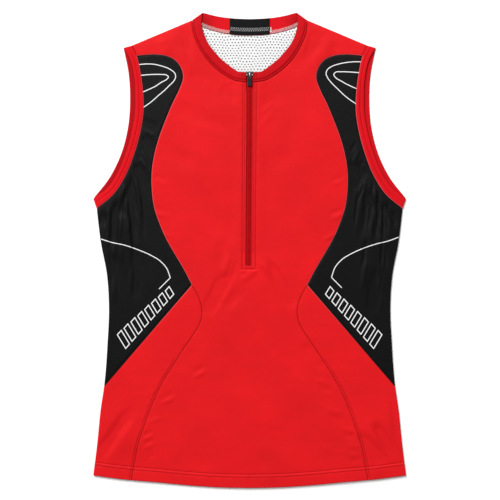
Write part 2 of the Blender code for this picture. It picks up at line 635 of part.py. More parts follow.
def slider(group, cutters, finish):
    """The slider: its body on the tapes and the arch that holds the pull."""
    body = box("zip_slider", PLATE, (0, PLATE_Y, plate_top() - PLATE[2] / 2), group, finish, PLATE_BEVEL)
    for vertex in body.data.vertices:
        if vertex.co.y < 0:
            vertex.co.x *= PLATE_FOOT / PLATE[0]
    inner = hinge()[2] + WIRE + SEAT
    outer = inner + ARCH_WALL
    far = ARCH_REACH + ARCH_WALL
    near = ARCH_REACH - ARCH_CORNER
    foot = plate_top() - ARCH_CORNER
    half = [(-near, inner), (-ARCH_REACH, inner - ARCH_CORNER), (-ARCH_REACH, foot), (-far, foot),
            (-far, outer - ARCH_WALL), (-ARCH_REACH, outer)]
    side = half + [(-y, z) for y, z in reversed(half)]
    mesh = bpy.data.meshes.new("slider_arch")
    shape = bmesh.new()
    verts = [shape.verts.new(((-ARCH_HALF) * MM, (HINGE_Y + y) * MM, z * MM)) for y, z in side]
    face = shape.faces.new(verts)
    pushed = bmesh.ops.extrude_face_region(shape, geom=[face])
    moved = [item for item in pushed["geom"] if isinstance(item, bmesh.types.BMVert)]
    bmesh.ops.translate(shape, verts=moved, vec=(2 * ARCH_HALF * MM, 0, 0))
    bmesh.ops.recalc_face_normals(shape, faces=shape.faces)
    shape.to_mesh(mesh)
    shape.free()
    arch = bpy.data.objects.new("slider_arch", mesh)
    cutters.objects.link(arch)
    arch.hide_render = True
    arch.display_type = "WIRE"
    joined = body.modifiers.new("arch", "BOOLEAN")
    joined.operation = "UNION"
    joined.object = arch


def pull(group, metal, rubber):
    """The pull: a wire loop through the arch and a grip, on an empty whose origin is on the hinge."""
    turns = bpy.data.objects.new("pull_tab_hinge", None)
    turns.location = [part * MM for part in hinge()]
    group.objects.link(turns)
    near, far = LOOP_HALF - LOOP_CORNER, LOOP_CORNER - LOOP_LENGTH
    half = [(near, 0), (LOOP_HALF, -LOOP_CORNER), (LOOP_HALF, far), (near, -LOOP_LENGTH)]
    ring = [(x, y, 0) for x, y in half] + [(-x, y, 0) for x, y in reversed(half)]
    loop = wire("pull_loop", ring, WIRE, (0, 0, 0), group, metal, closed=True)
    grip_y = -LOOP_LENGTH - WIRE - SEAT - GRIP[1] / 2
    grip = box("pull_grip", GRIP, (0, grip_y, 0), group, rubber, GRIP_BEVEL)
    loop.parent = turns
    grip.parent = turns


def build():
    """Makes every piece."""
    clear_scene()
    garment = collection_of("cycling_tank_top")
    cutters = collection_of("cutters", hidden=True)
    red = material("red_jersey", (0.78, 0.012, 0.022), 0.6)
    black = material("black_jersey", (0.012, 0.012, 0.013), 0.65)
    white = material("white_mesh", (0.86, 0.86, 0.86), 0.8)
    tape = material("zip_tape", (0.36, 0.006, 0.01), 0.7)
    metal = material("dark_metal", (0.16, 0.16, 0.17), 0.35, 1.0)
    rubber = material("pull_rubber", (0.02, 0.02, 0.022), 0.55)
    front_panel(garment, red)
    back_panel(garment, white)
    neckband(garment, red)
    neck_patch(garment, black)
    for side, word in ((-1, "left"), (1, "right")):
        side_upper(side, "side_upper_" + word, garment, black)
        side_lower(side, "side_lower_" + word, garment, red)
        armhole_band(side, "armhole_band_" + word, garment, red)
        zip_tape(side, "zip_tape_" + word, garment, tape)
    slider(garment, cutters, metal)
    pull(garment, metal, rubber)


build()
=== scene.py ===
"""Sleeveless cycling top with a half zip, lying flat: cloth, sewing, zip and studio.

+X is the picture's right, +Y runs to the neck, +Z is up from the surface it lies on.
"Left" and "right" in the names are the picture's. Tables and working arrays are in millimetres,
the properties that a user changes are in metres.
"""
import math

import bmesh
import bpy
import numpy as np
from bpy.props import FloatProperty, FloatVectorProperty, PointerProperty
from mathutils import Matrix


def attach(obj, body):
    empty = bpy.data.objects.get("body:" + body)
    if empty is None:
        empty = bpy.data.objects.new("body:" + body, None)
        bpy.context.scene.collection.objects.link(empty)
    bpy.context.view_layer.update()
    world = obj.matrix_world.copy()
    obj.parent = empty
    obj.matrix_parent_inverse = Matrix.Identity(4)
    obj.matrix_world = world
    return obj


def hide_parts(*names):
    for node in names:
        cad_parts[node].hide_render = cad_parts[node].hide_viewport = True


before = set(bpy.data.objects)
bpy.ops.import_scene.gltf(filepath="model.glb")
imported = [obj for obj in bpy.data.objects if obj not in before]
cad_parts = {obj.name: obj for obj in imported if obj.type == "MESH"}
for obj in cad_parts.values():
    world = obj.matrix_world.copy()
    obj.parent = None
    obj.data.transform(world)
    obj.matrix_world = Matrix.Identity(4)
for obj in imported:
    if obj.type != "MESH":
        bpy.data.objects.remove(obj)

bl_info = {
    "name": "Cycling tank top",
    "version": (1, 0, 0),
    "blender": (4, 5, 0),
    "location": "3D View > Sidebar > Tank top",
    "description": "Builds a sleeveless cycling top with a half zip, piece by piece, in its packed frame",
    "category": "Object",
}

MM = 0.001
TINY = 1e-9
UP = np.array([0.0, 0.0, 1.0])
SIDES = ((-1, "left"), (1, "right"))
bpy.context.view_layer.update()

# Space kept by the cloth, as in the solids
LAYER_GAP = 0.9            # air between front and back where nothing lifts the cloth
LEAST_GAP = 0.35           # the closest that the two layers come
SHOULDER_GAP = 0.32        # the same at the shoulder seams
SHOULDER_SLOPE = (0.5, 14.0)
TAPE_SLOPE = (2.0, 16.0)
ZIP_END_SLOPE = (30.0, 10.0)
SEAM = 0.05                # space between two panels at a seam
TURN_ROOM = 2.4            # the back's neck corner is cut back by this, clear of the neckband's turn
ROLL_STEPS = 12            # faces round a fold where the cloth turns from front to back

# Cut
BAND_WIDTH = 12.6
BAND_DIP = 2.6             # how much narrower the armhole band's front shows below the shoulder
BAND_DIP_AT = 264.0
BAND_DIP_HALF = 48.0
# Shares of a band's width where its points lie, close together at its edges and at its middle groove
BAND_SHARES = np.array([0, 0.02, 0.05, 0.09, 0.13, 0.16, 0.18, 0.2, 0.22, 0.25, 0.36, 0.43, 0.47, 0.5, 0.53,
                        0.57, 0.66, 0.78, 0.88, 0.94, 0.97, 1.0])
HEM_DEPTH = 17.0
HEM_STEP = 3.0
SIDE_WRAP = 28.0           # how far a side panel runs round on to the back
SPLIT_DROP = 30.0          # how far the slanted seam falls while it runs round on to the back
BACK_SEAM_EASE = 20.0
PATCH_HALF = 29.3
PATCH_INSET = 0.4

# Outlines of the right half, (x, y), smooth curves through these points
SHOULDER_NECK = (85, 338)
SHOULDER_TIP = (173, 301)
UNDERARM = (225, 61)
SPLIT_SIDE = (214, -199)
SPLIT_TIP = (85, -51)
HEM_SIDE = (230, -331)
NECK_SEAM = [(4, 247), (23, 250), (39, 259), (54, 271), (66, 285), (76, 302), (83, 320), SHOULDER_NECK]
NECK_HIGH = (69, 349.5)
NECK_EDGE = [(4, 261.6), (11, 261.8), (17, 262.5), (24, 266.8), (31, 272), (42, 281), (52, 292), (61, 304),
             (67, 317), (70.5, 332), NECK_HIGH]
BACK_NECK_SEAM = [(0, 316), (24, 317), (47, 321), (68, 328), SHOULDER_NECK]
BACK_NECK_EDGE = [(0, 340), (23, 341), (47, 344), NECK_HIGH]
LOBE_END = (166, 286)
SHOULDER_EDGE = (185.5, 297.5)
UNDERARM_EDGE = (230, 76)
ARMHOLE_SEAM = [SHOULDER_TIP, LOBE_END, (160, 259), (157, 237), (156, 204), (161, 172), (170, 140),
                (182, 110), (200, 82), UNDERARM]
BACK_ARMHOLE_EDGE = [SHOULDER_EDGE, (178, 259), (176, 220), (179, 181), (189, 142), (206, 107), UNDERARM_EDGE]
LOBE_TOP = (143, 288)
BESIDE_UNDERARM = (141, 65)
LOBE_SEAM = [SPLIT_TIP, (97, -28), (110, -6), (123, 17), (133, 40), BESIDE_UNDERARM, (144, 90), (144, 116),
             (140, 142), (133, 167), (124, 191), (114, 215), (103, 238), (98, 254), (101, 268),
             (112, 281), (124, 286), LOBE_TOP]
PRINCESS_SEAM = [(174, -338), (169, -311), (164, -286), (156, -261), (147, -236), (137, -212), (125, -189),
                 (111, -167), (97, -145), (82, -123), (73, -107), (70, -92), (74, -72), SPLIT_TIP]
SIDE_EDGE = [HEM_SIDE, (224, -282), (219, -233), SPLIT_SIDE, (209, -135), (207, -85), (210, -36), (219, 12),
             UNDERARM]
HEM = [(0, -349.5), (46, -348.5), (92, -345.5), (138, -341), (174, -338), (184, -337), HEM_SIDE]

# Zip
SLIT = 4.1                 # half the open channel
SLIT_WIDE = 5.0            # the same round the slider
SLIT_SPREAD = (228.0, 244.0)
SLIT_END = -22.5
SLIT_POINT = 0.4
TAPE_HALF = 11.0
TAPE_WALL = 1.0
TAPE_PAST_SLIT = 7.0
TAPE_TOP = 261.0
SEAT = 0.3
ZIP_LEAN = -1.6            # the zip's lower end lies this far to the left
HINGE_Y = 259.4
HINGE_Z = 4.6

# Plates of the slider and pull: half sizes, middle, how square across and along, and the share of the width at
# the foot and at the top, with the place along it where the top's is reached
SLIDER_BODY = ((4.55, 5.25, 0.62), (0, 257.4, 3.36), (7, 9), (0.68, 1.0, 0.35))
SLIDER_WING = ((0.7, 1.25, 0.4), (3.95, 257.3, 3.8), (3, 3), (1.0, 1.0, 0.5))
GRIP = ((3.15, 6.1, 0.92), (0, 246.6, HINGE_Z), (6, 12), (1.0, 1.0, 0.5))
GRIP_RIB = 0.16            # depth of the ribs across the grip
CROWN_Y = HINGE_Y - 1.3
CROWN_HALF = 2.7           # half the length of the slider's arch
CROWN_FOOT = 3.7
CROWN_RISE = 2.25
CROWN_BAR = (0.85, 0.42)   # half its width and half its thickness
RING_HALF = (2.3, 3.3)
RING_WIRE = 0.5
COIL_WIRE = 0.27

# Rows of faces on the seams, and the distances from a seam, an edge or a stitch line where more rows and
# columns lie close together
LOW_ROWS = 124
UNDERARM_ROWS = 64
ARM_ROWS = 84
LOBE_END_ROWS = 8
TIP_ROWS = 8
NECK_ROWS = 56
ZIP_ROWS = 96
BACK_ARM_ROWS = 96
WRAP_ROWS = 8              # rows of the back armhole that a side panel takes up
BACK_NECK_ROWS = 40
NEAR_SEAM = (0.0, 0.25, 0.6, 1.1, 1.8, 2.3, 2.7, 3.2, 3.9, 4.8, 5.3, 5.7, 6.2, 7.4)
NEAR_ZIP = (0.0, 1.5, 2.9, 3.3, 3.7, 5.4, 6.3, 6.8, 7.3, 9.0)
NEAR_HEM = (0.0, 0.3, 0.8, 1.6, 4.0, 8.0, 12.0, 14.6, 15.3, 15.8, 16.3, 17.4, 18.6, 19.4, 19.9, 20.4, 21.2,
            23.0)
NEAR_SPLIT = (0.0, 0.3, 0.8, 1.5, 2.6)
NEAR_BOX = (0.0, 0.5, 1.2, 2.4, 3.6, 4.2, 4.7, 5.2, 5.8, 6.6, 7.4, 8.2, 9.2, 10.6)
NEAR_FACING = (0.0, 0.2, 0.5, 0.9)
NEAR_TAPE = (0.0, 0.2, 0.5)

# Columns of faces across the pieces
FRONT_COLUMNS = 76
SIDE_COLUMNS = 84
LOW_SIDE_COLUMNS = 60
BACK_COLUMNS = 44
FACING_COLUMNS = 96
FACING_ROWS = 40
TAPE_ROWS = 180
TAPE_COLUMNS = 28

# Folds of the front layer: x and y where each starts and ends, half its width, its height, below 0 for a
# trough. FOLDS are the solids' large folds, a few of them eased, and CREASES are finer and only here.
FOLD_SPREAD = 1.8
FOLD_FADE = (0.3, 0.6)
FOLDS = [
    (-177, 108, -168, 2, 5.0, -2.2), (-168, 12, -166, -80, 6.0, -0.9), (-195, 76, -204, -6, 5.0, -2.1),
    (-202, 0, -197, -60, 6.0, -0.8), (-185, 88, -189, 40, 4.0, -1.1), (-169, 130, -150, 84, 5.0, -1.0),
    (-160, 190, -134, 176, 5.0, -0.9), (-158, 168, -138, 146, 5.0, -0.8), (-211, 58, -213, 34, 3.5, -1.0),
    (174, 94, 170, 14, 5.0, -1.7), (184, 84, 187, 8, 4.5, -2.1), (197, 74, 198, 14, 4.5, -1.6),
    (209, 58, 215, 32, 3.5, -1.0), (172, 120, 152, 100, 5.0, -1.0), (147, 132, 158, 84, 5.0, -1.0),
    (188, -20, 178, -100, 7.0, -1.2), (-101, 332, -94, 286, 9.0, -0.8), (101, 326, 96, 284, 9.0, -0.8),
    (-116, 216, -20, 172, 9.0, -0.9), (-136, 156, -76, 122, 9.0, -0.9), (-44, 242, -14, 212, 7.0, -0.7),
    (20, 210, 42, 232, 7.0, -0.6), (-68, -98, -24, -26, 8.0, -1.8), (-40, -90, -9, -54, 7.0, -0.9),
    (26, -18, 68, -92, 8.0, -1.8), (-168, -226, -231, -318, 8.0, -1.7), (-164, -250, -212, -320, 9.0, 0.3),
    (166, -246, 214, -322, 8.0, 0.6), (158, -264, 206, -318, 7.0, -1.4), (180, -250, 217, -308, 6.5, -2.0),
    (76, -136, 114, -176, 8.0, -1.0),
]
CREASES = [
    (-131, -219, -110, -209, 3.2, -0.6), (-82, -180, -64, -169, 3.4, -0.5),
    (-156, -273, -141, -265, 3.0, -0.6), (-156, -284, -140, -278, 2.8, -0.5),
    (-153, -306, -136, -300, 2.8, -0.5), (78, -142, 112, -173, 3.8, -0.6),
    (104, -202, 120, -208, 3.0, -0.5), (116, -243, 142, -252, 3.2, -0.6), (138, -269, 157, -277, 3.0, -0.6),
    (146, -306, 161, -312, 2.8, -0.5), (-57, -78, -46, -34, 3.4, -0.6), (49, -41, 66, -86, 3.6, -0.6),
    (-14, -46, 14, -28, 4.0, 0.7), (-172, 74, -178, 20, 3.0, 0.8), (-200, 48, -210, 6, 2.6, 0.7),
    (-160, 60, -157, 6, 4.0, -0.5), (165, 66, 162, 8, 3.6, -0.5), (179, 66, 178, 22, 2.4, 0.7),
    (192, 60, 192, 20, 2.4, 0.7), (-150, 116, -146, 72, 4.4, -0.5), (-30, 246, -13, 234, 3.0, -0.4),
    (-60, 40, -12, 22, 11.0, -0.5), (14, 118, 74, 146, 12.0, -0.5), (-90, 262, -60, 240, 9.0, -0.5),
    (60, 262, 100, 300, 9.0, -0.5), (-46, -170, 24, -206, 14.0, -0.5), (-10, -262, 70, -290, 13.0, -0.5),
    (-120, -318, -50, -300, 11.0, -0.4), (24, -318, 30, -346, 9.0, 0.4), (-66, -318, -60, -346, 8.0, 0.4),
    (184, -312, 190, -338, 7.0, 0.4), (-183, 98, -188, 66, 2.4, 0.8), (-194, 82, -199, 20, 2.2, -0.7),
    (-179, 96, -172, 24, 2.2, -0.8), (-187, 60, -192, 10, 2.0, 0.6), (-212, 52, -214, 34, 1.8, -0.6),
    (-166, 122, -158, 100, 1.8, -0.6), (-162, 136, -150, 118, 2.2, 0.6), (-158, 190, -142, 182, 1.8, -0.5),
    (-157, 178, -137, 164, 2.0, 0.5), (-158, 158, -140, 136, 1.8, -0.5), (-160, 146, -148, 128, 1.6, 0.4),
    (-206, 8, -203, -22, 2.4, -0.6), (-190, 6, -188, -24, 2.2, 0.5), (-172, -20, -176, -70, 3.0, 0.6),
    (-198, -24, -200, -84, 3.0, 0.6), (169, 132, 152, 116, 2.0, -0.5), (167, 114, 155, 86, 2.2, -0.7),
    (172, 104, 162, 74, 2.0, 0.6), (176, 94, 178, 20, 2.0, -0.7), (183, 96, 184, 26, 2.2, 0.8),
    (189, 90, 190, 30, 2.0, -0.7), (205, 62, 212, 40, 1.8, -0.6), (158, 160, 146, 142, 1.8, -0.5),
    (161, 148, 150, 124, 2.0, 0.5), (199, 8, 201, -32, 2.4, -0.6), (170, -10, 166, -64, 3.2, 0.6),
    (194, -10, 186, -74, 3.0, 0.6), (-92, 326, -88, 272, 6.0, -0.6), (92, 322, 88, 272, 6.0, -0.6),
    (-133, 320, -117, 282, 7.0, 0.9), (124, 318, 98, 272, 7.0, 0.5), (-170, -228, -229, -314, 2.6, -0.5),
    (-133, -227, -105, -214, 2.6, 0.55), (-158, -279, -139, -271, 2.4, 0.5),
    (-157, -292, -139, -285, 2.2, 0.5), (-86, -189, -61, -176, 2.8, 0.5),
    (-150, -254, -128, -245, 2.4, 0.45), (134, -261, 157, -268, 2.4, 0.5), (142, -285, 162, -292, 2.2, 0.5),
    (111, -232, 140, -241, 2.6, 0.5), (146, -298, 164, -303, 2.2, 0.5), (96, -190, 120, -199, 2.6, 0.45),
    (212, -204, 219, -292, 6.0, -1.0), (-40, 232, -12, 198, 3.6, 0.5), (14, 196, 40, 226, 3.6, 0.5),
    (-54, 226, -14, 184, 4.6, 0.45), (12, 178, 38, 208, 4.0, 0.45), (9, -9, 46, -54, 3.0, 0.6),
    (24, -10, 50, -46, 3.6, -0.7), (-17, -16, -24, -44, 3.2, -0.6), (-40, 16, -44, -30, 7.0, -0.6),
    (-28, -4, -40, -44, 4.0, 0.5), (-26, 214, -10, 196, 2.6, -0.4), (10, 204, 26, 220, 2.6, -0.4),
    (-142, 111, -119, 102, 2.2, -0.5), (-141, 104, -119, 95, 2.2, 0.45), (-140, 63, -116, 55, 2.4, -0.5),
    (-140, 55, -118, 46, 2.2, 0.5), (-134, 28, -108, 16, 2.4, 0.45), (119, 102, 142, 110, 2.2, -0.5),
    (119, 95, 141, 103, 2.2, 0.4), (116, 53, 139, 61, 2.4, -0.5), (118, 45, 139, 53, 2.2, 0.45),
    (106, 14, 132, 26, 2.4, 0.45), (-202, 64, -203, 10, 1.7, -1.0), (-183, 98, -185, 42, 1.6, -1.1),
    (-176, 116, -162, 40, 1.8, -1.1), (-170, 128, -155, 90, 1.5, -0.9), (-164, 130, -148, 98, 1.5, -0.8),
    (-215, 58, -221, 32, 1.5, -0.8), (-173, 48, -169, -24, 2.2, -1.0), (-196, 30, -194, -40, 2.0, -0.8),
    (-160, 84, -152, 20, 2.0, -0.7), (-208, 64, -210, 24, 1.5, 0.7), (-190, 92, -194, 40, 1.5, 0.7),
    (-169, 108, -156, 50, 1.6, 0.6), (188, 92, 192, 32, 1.6, -1.1), (181, 106, 178, 20, 1.8, -1.1),
    (170, 98, 156, 66, 1.6, -0.9), (165, 128, 156, 98, 1.5, -0.8), (202, 74, 207, 40, 1.5, -0.9),
    (171, 20, 166, -34, 2.2, -0.9), (196, 30, 192, -44, 2.0, -0.8), (160, 92, 154, 30, 2.0, -0.7),
    (184, 84, 186, 26, 1.4, 0.7), (198, 66, 200, 20, 1.5, 0.7), (176, 76, 170, 20, 1.6, 0.6),
]

# Folds of the back layer, away from the surface it lies on, in the same order
BACK_FOLDS = [
    (-150, 120, -40, 60, 9.0, 0.9), (140, 40, 60, -40, 10.0, 0.8), (-60, 230, -20, 150, 8.0, 0.6),
    (30, 250, 70, 170, 8.0, 0.6), (-110, -60, -60, -160, 10.0, 0.8), (70, -130, 140, -220, 9.0, 0.8),
    (-20, -60, 30, -150, 11.0, 0.7), (-150, -220, -60, -280, 9.0, 0.6), (20, -250, 100, -310, 10.0, 0.6),
    (-30, 40, 30, -10, 9.0, 0.5),
]

# Soft rises of the front layer: x and y of the centre, half length along X and Y, height
SWELLS = [
    (-190, 40, 46, 110, 1.9), (190, 40, 46, 110, 1.8), (0, -60, 95, 90, 1.4), (-70, 150, 80, 90, 0.9),
    (70, 160, 80, 90, 0.8), (-190, -270, 60, 60, 1.4), (190, -270, 60, 60, 1.4), (0, -250, 150, 70, 0.5),
    (-98, 300, 34, 40, 0.7), (98, 300, 34, 40, 0.7),
]

# Slow waves of the front layer: length, direction in degrees, shift, height
WAVES = [
    (148, 20, 0.7, 0.2), (96, 78, 2.1, 0.14), (67, -38, 4.0, 0.09), (41, 55, 1.3, 0.04),
]

# White lines on the dark side panels, from the armhole or side edge round and back
LINE_WIDTH = 1.3
WHITE_LINES = {
    "left": [
        [(-163.0, 272.9), (-151.7, 273.7), (-140.9, 273.3), (-130.1, 270.9), (-120.6, 267.7), (-114.0, 263.9),
         (-109.7, 259.5), (-108.8, 254.7), (-111.5, 248.7), (-118.1, 242.0), (-125.9, 234.2), (-133.7, 227.7),
         (-142.8, 219.6), (-149.4, 214.5), (-156.1, 210.0)],
        [(-159.6, 257.1), (-143.3, 258.3), (-130.1, 258.3), (-122.3, 257.4), (-119.3, 254.7), (-121.7, 251.4),
         (-130.1, 246.6), (-138.5, 240.9), (-148.1, 236.4), (-156.8, 232.5)],
        [(-218.4, 16.4), (-202.9, 11.5), (-184.1, 7.5), (-164.8, 0.9), (-146.6, -6.8), (-132.6, -15.0),
         (-122.0, -26.6), (-116.6, -40.5)],
        [(-116.6, -40.5), (-124.8, -48.7), (-133.0, -57.0)],
    ],
    "right": [
        [(164.2, 276.9), (152.5, 276.9), (140.4, 275.6), (129.7, 273.3), (120.0, 269.7), (114.0, 264.9),
         (112.3, 259.5), (114.6, 253.5), (120.6, 245.7), (129.7, 236.7), (139.2, 227.6), (147.6, 221.0),
         (156.2, 215.2)],
        [(160.6, 261.0), (147.0, 261.9), (134.4, 262.2), (126.0, 261.3), (123.6, 258.0), (126.0, 254.1),
         (134.4, 248.6), (144.0, 243.3), (156.8, 237.5)],
        [(218.8, 19.0), (203.5, 13.5), (185.4, 9.0), (166.6, 2.6), (149.0, -5.4), (135.8, -13.6),
         (125.6, -25.2), (120.3, -40.0)],
        [(120.3, -40.0), (127.8, -47.6), (135.3, -55.2)],
    ],
}

# Plain row of slanted bars below them, from the tip outward: where its foot starts and ends, each bar's share
# of that length and its height, a bar's width, how far its top leans back, and the stroke round it
BAR_ROW = ((111.5, -64.7), (192.5, -156.0))
BARS = [(0.0, 12.5), (0.115, 14.0), (0.23, 15.5), (0.344, 17.0), (0.459, 18.5), (0.574, 20.0), (0.689, 21.5),
        (0.803, 22.5)]
BAR_WIDTH = 8.6
BAR_LEAN = 7.0
BAR_STROKE = 1.4

# Sewing: distance of a stitch line from the edge or seam beside it
ZIP_STITCH = 5.7
ZIP_EDGE = 2.7             # the fold of the jersey beside the zip
HEM_STITCH = (15.8, 19.9)
HEM_STITCH_END = 224       # X where the stitches of the hem end, short of the side fold
PRINCESS_STITCH = 3.2
NECK_STITCH = 2.6
SLIT_BOX = -27.6           # height of the stitches across the zip's lower end
COIL_PITCH = 1.3           # from one loop of the zip's coil to the next
COIL_REACH = 2.0           # how far the coil reaches from the middle
SEAM_REACH = 1.5           # half the width of the valley along a seam
STITCH_REACH = 0.75        # the same along a stitch line
RIPPLE = 0.15              # height of the ripples beside the sewing
RIPPLE_REACH = 5.0
COVER_ROWS = (1.0, 5.0)    # inside the back neck: rows of white stitches, above the seam
COVER_ZIGZAG = (3.0, 1.7, 2.4)    # middle, swing and length of the zigzag between them
COVER_END = 73.0           # x where they end below the shoulder
FACING_STITCH = (5.6, 9.8)    # rows of grey stitches on the facing, above its lower edge
FACING_ZIGZAG = (7.7, 1.7, 3.4)
BAR_X = 31.3               # short bar of stitches at the facing's end
BAR_Y = (320.4, 327.6)
BAR_ZIGZAG = 0.9

# Shade kept on the bands: inside the back neckband, on the front neckband, and inside the armholes on the left
# and on the right
NECK_SHADE = 0.75
BAND_SHADE = 0.28
ARM_SHADE = (0.65, 0.2)

PAINTED_EDGE_HIGHLIGHT = (0.66, 0.13, 0.15, 1.0)    # colour of a painted highlight on the edge beside dark cloth

# Studio, in metres, and millimetres for the lens
CAMERA = (0.0005, 0.0003, 1.7384)
LENS, SENSOR = 85.0, 36.0
KEY_PLACE = (-2.2, 3.6, 4.3)
FLOOR_HALF = 4000.0        # in millimetres, like its drop below the cloth
FLOOR_DROP = 0.05


# Lines in the plane

def smooth(points, samples=1600):
    """Cubic curve through the points: on each span its ends' places and tangents are blended by the Hermite
    polynomials, with each tangent the slope between a point's neighbours by length."""
    knots = np.array(points, float)
    length = np.concatenate([[0.0], np.cumsum(np.linalg.norm(np.diff(knots, axis=0), axis=1))])
    tangents = np.gradient(knots, length, axis=0)
    where = np.linspace(0, length[-1], samples)
    i = np.clip(np.searchsorted(length, where, side="right") - 1, 0, len(knots) - 2)
    span = (length[i + 1] - length[i])[:, None]
    u = (where - length[i])[:, None] / span
    return ((2 * u ** 3 - 3 * u ** 2 + 1) * knots[i] + (u ** 3 - 2 * u ** 2 + u) * span * tangents[i]
            + (3 * u ** 2 - 2 * u ** 3) * knots[i + 1] + (u ** 3 - u ** 2) * span * tangents[i + 1])


def run_of(points):
    """Length along a line up to each of its points."""
    return np.concatenate([[0.0], np.cumsum(np.linalg.norm(np.diff(points, axis=0), axis=1))])


def at_lengths(points, where):
    """Points of a line at the given lengths along it."""
    run = run_of(points)
    return np.stack([np.interp(where, run, points[:, k]) for k in range(points.shape[1])], axis=1)


def spaced(points, count, first=(0.0,), last=(0.0,)):
    """The line in count faces: at the first and last lengths from its two ends, and evenly between."""
    total = run_of(points)[-1]
    middle = count - len(first) - len(last) + 2
    inner = np.linspace(first[-1], total - last[-1], middle + 1)
    return at_lengths(points, np.concatenate([first[:-1], inner, total - np.array(last[:-1])[::-1]]))


def unit(vectors):
    """Vectors brought to length one."""
    return vectors / np.maximum(np.linalg.norm(vectors, axis=-1, keepdims=True), TINY)


def left_of(way):
    """Directions turned a quarter to the left."""
    return np.stack([-way[..., 1], way[..., 0]], axis=-1)


def normals(points):
    """Unit vectors to the left of a line's direction."""
    return left_of(unit(np.gradient(points, axis=0)))


def shifted(points, distance):
    """The line moved sideways, to the left of its direction where the distance is positive."""
    return points + normals(points) * distance


def trimmed(points, start, end):
    """The line shortened by a length at its start and at its end."""
    run = run_of(points)
    where = np.concatenate([[start], run[(run > start) & (run < run[-1] - end)], [run[-1] - end]])
    return at_lengths(points, where)


def part_of(points, first, last):
    """The stretch of a line between its nearest points to two places."""
    i, j = (int(np.argmin(np.linalg.norm(points - np.array(place, float), axis=1))) for place in (first, last))
    return points[i:j + 1] if i <= j else points[j:i + 1][::-1]


def ruled(inner, outer, columns, first=(0.0,), last=(0.0,)):
    """Rows of points on straight lines from each inner point to its outer partner: at the first and last
    lengths from their ends, and evenly between."""
    length = np.linalg.norm(outer - inner, axis=1)[:, None]
    room = np.minimum(1.0, 0.42 * length / max(first[-1], last[-1], 1e-6))
    start, end = np.array(first)[None] * room, np.array(last)[None] * room
    middle = columns - len(first) - len(last) + 2
    share = np.linspace(0, 1, middle + 1)[None]
    between = start[:, -1:] * (1 - share) + (length - end[:, -1:]) * share
    where = np.concatenate([start[:, :-1], between, length - end[:, :-1][:, ::-1]], axis=1)
    t = (where / np.maximum(length, 1e-9))[..., None]
    return inner[:, None] * (1 - t) + outer[:, None] * t


def bell(distance):
    """One at zero, falling softly to nothing at one and beyond: (1 - d squared) squared."""
    t = np.clip(1 - distance ** 2, 0, None)
    return t * t


def ramp(value, low, high):
    """Soft step from 0 at the low value to 1 at the high one: 3 t squared - 2 t cubed."""
    t = np.clip((value - low) / (high - low), 0, 1)
    return t * t * (3 - 2 * t)


def to_segments(places, starts, ways):
    """Distance of each place to the nearest of some segments, each with its start and the way to its end."""
    some = places[:, None] - starts[None]
    squares = np.maximum((ways ** 2).sum(axis=1), TINY)[None]
    along = np.clip((some * ways[None]).sum(axis=2) / squares, 0, 1)
    off = some - along[..., None] * ways[None]
    return np.sqrt((off ** 2).sum(axis=2).min(axis=1))


def distance_to(x, y, lines, batch=4096):
    """Distance of each place to the nearest of some lines, a batch of places at a time."""
    starts = np.concatenate([line[:-1] for line in lines])
    ways = np.concatenate([np.diff(line, axis=0) for line in lines])
    places = np.stack([x.ravel(), y.ravel()], axis=1)
    parts = [to_segments(places[first:first + batch], starts, ways) for first in range(0, len(places), batch)]
    return np.concatenate(parts).reshape(x.shape)


# Seams

def princess_rows():
    """The front seam that both side panels share: hem to tip, then tip to the top of the lobe."""
    lobe = smooth(LOBE_SEAM)
    below = spaced(part_of(lobe, SPLIT_TIP, BESIDE_UNDERARM), UNDERARM_ROWS, NEAR_SPLIT)
    above = spaced(part_of(lobe, BESIDE_UNDERARM, LOBE_TOP), ARM_ROWS)
    return spaced(smooth(PRINCESS_SEAM), LOW_ROWS, NEAR_HEM, NEAR_SPLIT), np.concatenate([below, above[1:]])


def armhole_rows():
    """The front armhole seam, from the shoulder to the underarm."""
    seam = smooth(ARMHOLE_SEAM)
    tip = spaced(part_of(seam, SHOULDER_TIP, LOBE_END), TIP_ROWS)
    return np.concatenate([tip, spaced(part_of(seam, LOBE_END, UNDERARM), ARM_ROWS)[1:]])


def back_armhole_seam():
    """Where the back panel and the side panel meet the back half of the armhole band."""
    edge = smooth(BACK_ARMHOLE_EDGE)
    inside = shifted(edge, -BAND_WIDTH)
    share = np.linspace(0, 1, len(inside))[:, None]
    start = np.array(SHOULDER_TIP) - inside[0]
    end = np.array(UNDERARM) - inside[-1]
    return spaced(inside + start * (1 - share) ** 6 + end * share ** 6, BACK_ARM_ROWS)


def side_back_rows():
    """Where a side panel meets the back panel: hem to slanted seam, then slanted seam to armhole."""
    seam = shifted(smooth(SIDE_EDGE), SIDE_WRAP)
    arm = back_armhole_seam()[-1 - WRAP_ROWS]
    seam = seam[seam[:, 1] < arm[1] - BACK_SEAM_EASE]
    seam = np.concatenate([seam, [arm]])
    hem = smooth(HEM)
    seam[0, 1] = np.interp(seam[0, 0], hem[:, 0], hem[:, 1])
    split = int(np.argmin(np.abs(seam[:, 1] - (SPLIT_SIDE[1] - SPLIT_DROP))))
    low = spaced(seam[:split + 1], LOW_ROWS, NEAR_HEM, NEAR_SPLIT)
    return low, spaced(seam[split:], UNDERARM_ROWS, NEAR_SPLIT)


def slit_half(y):
    """Half the width of the zip's channel, which widens round the slider."""
    return SLIT + (SLIT_WIDE - SLIT) * ramp(y, *SLIT_SPREAD)


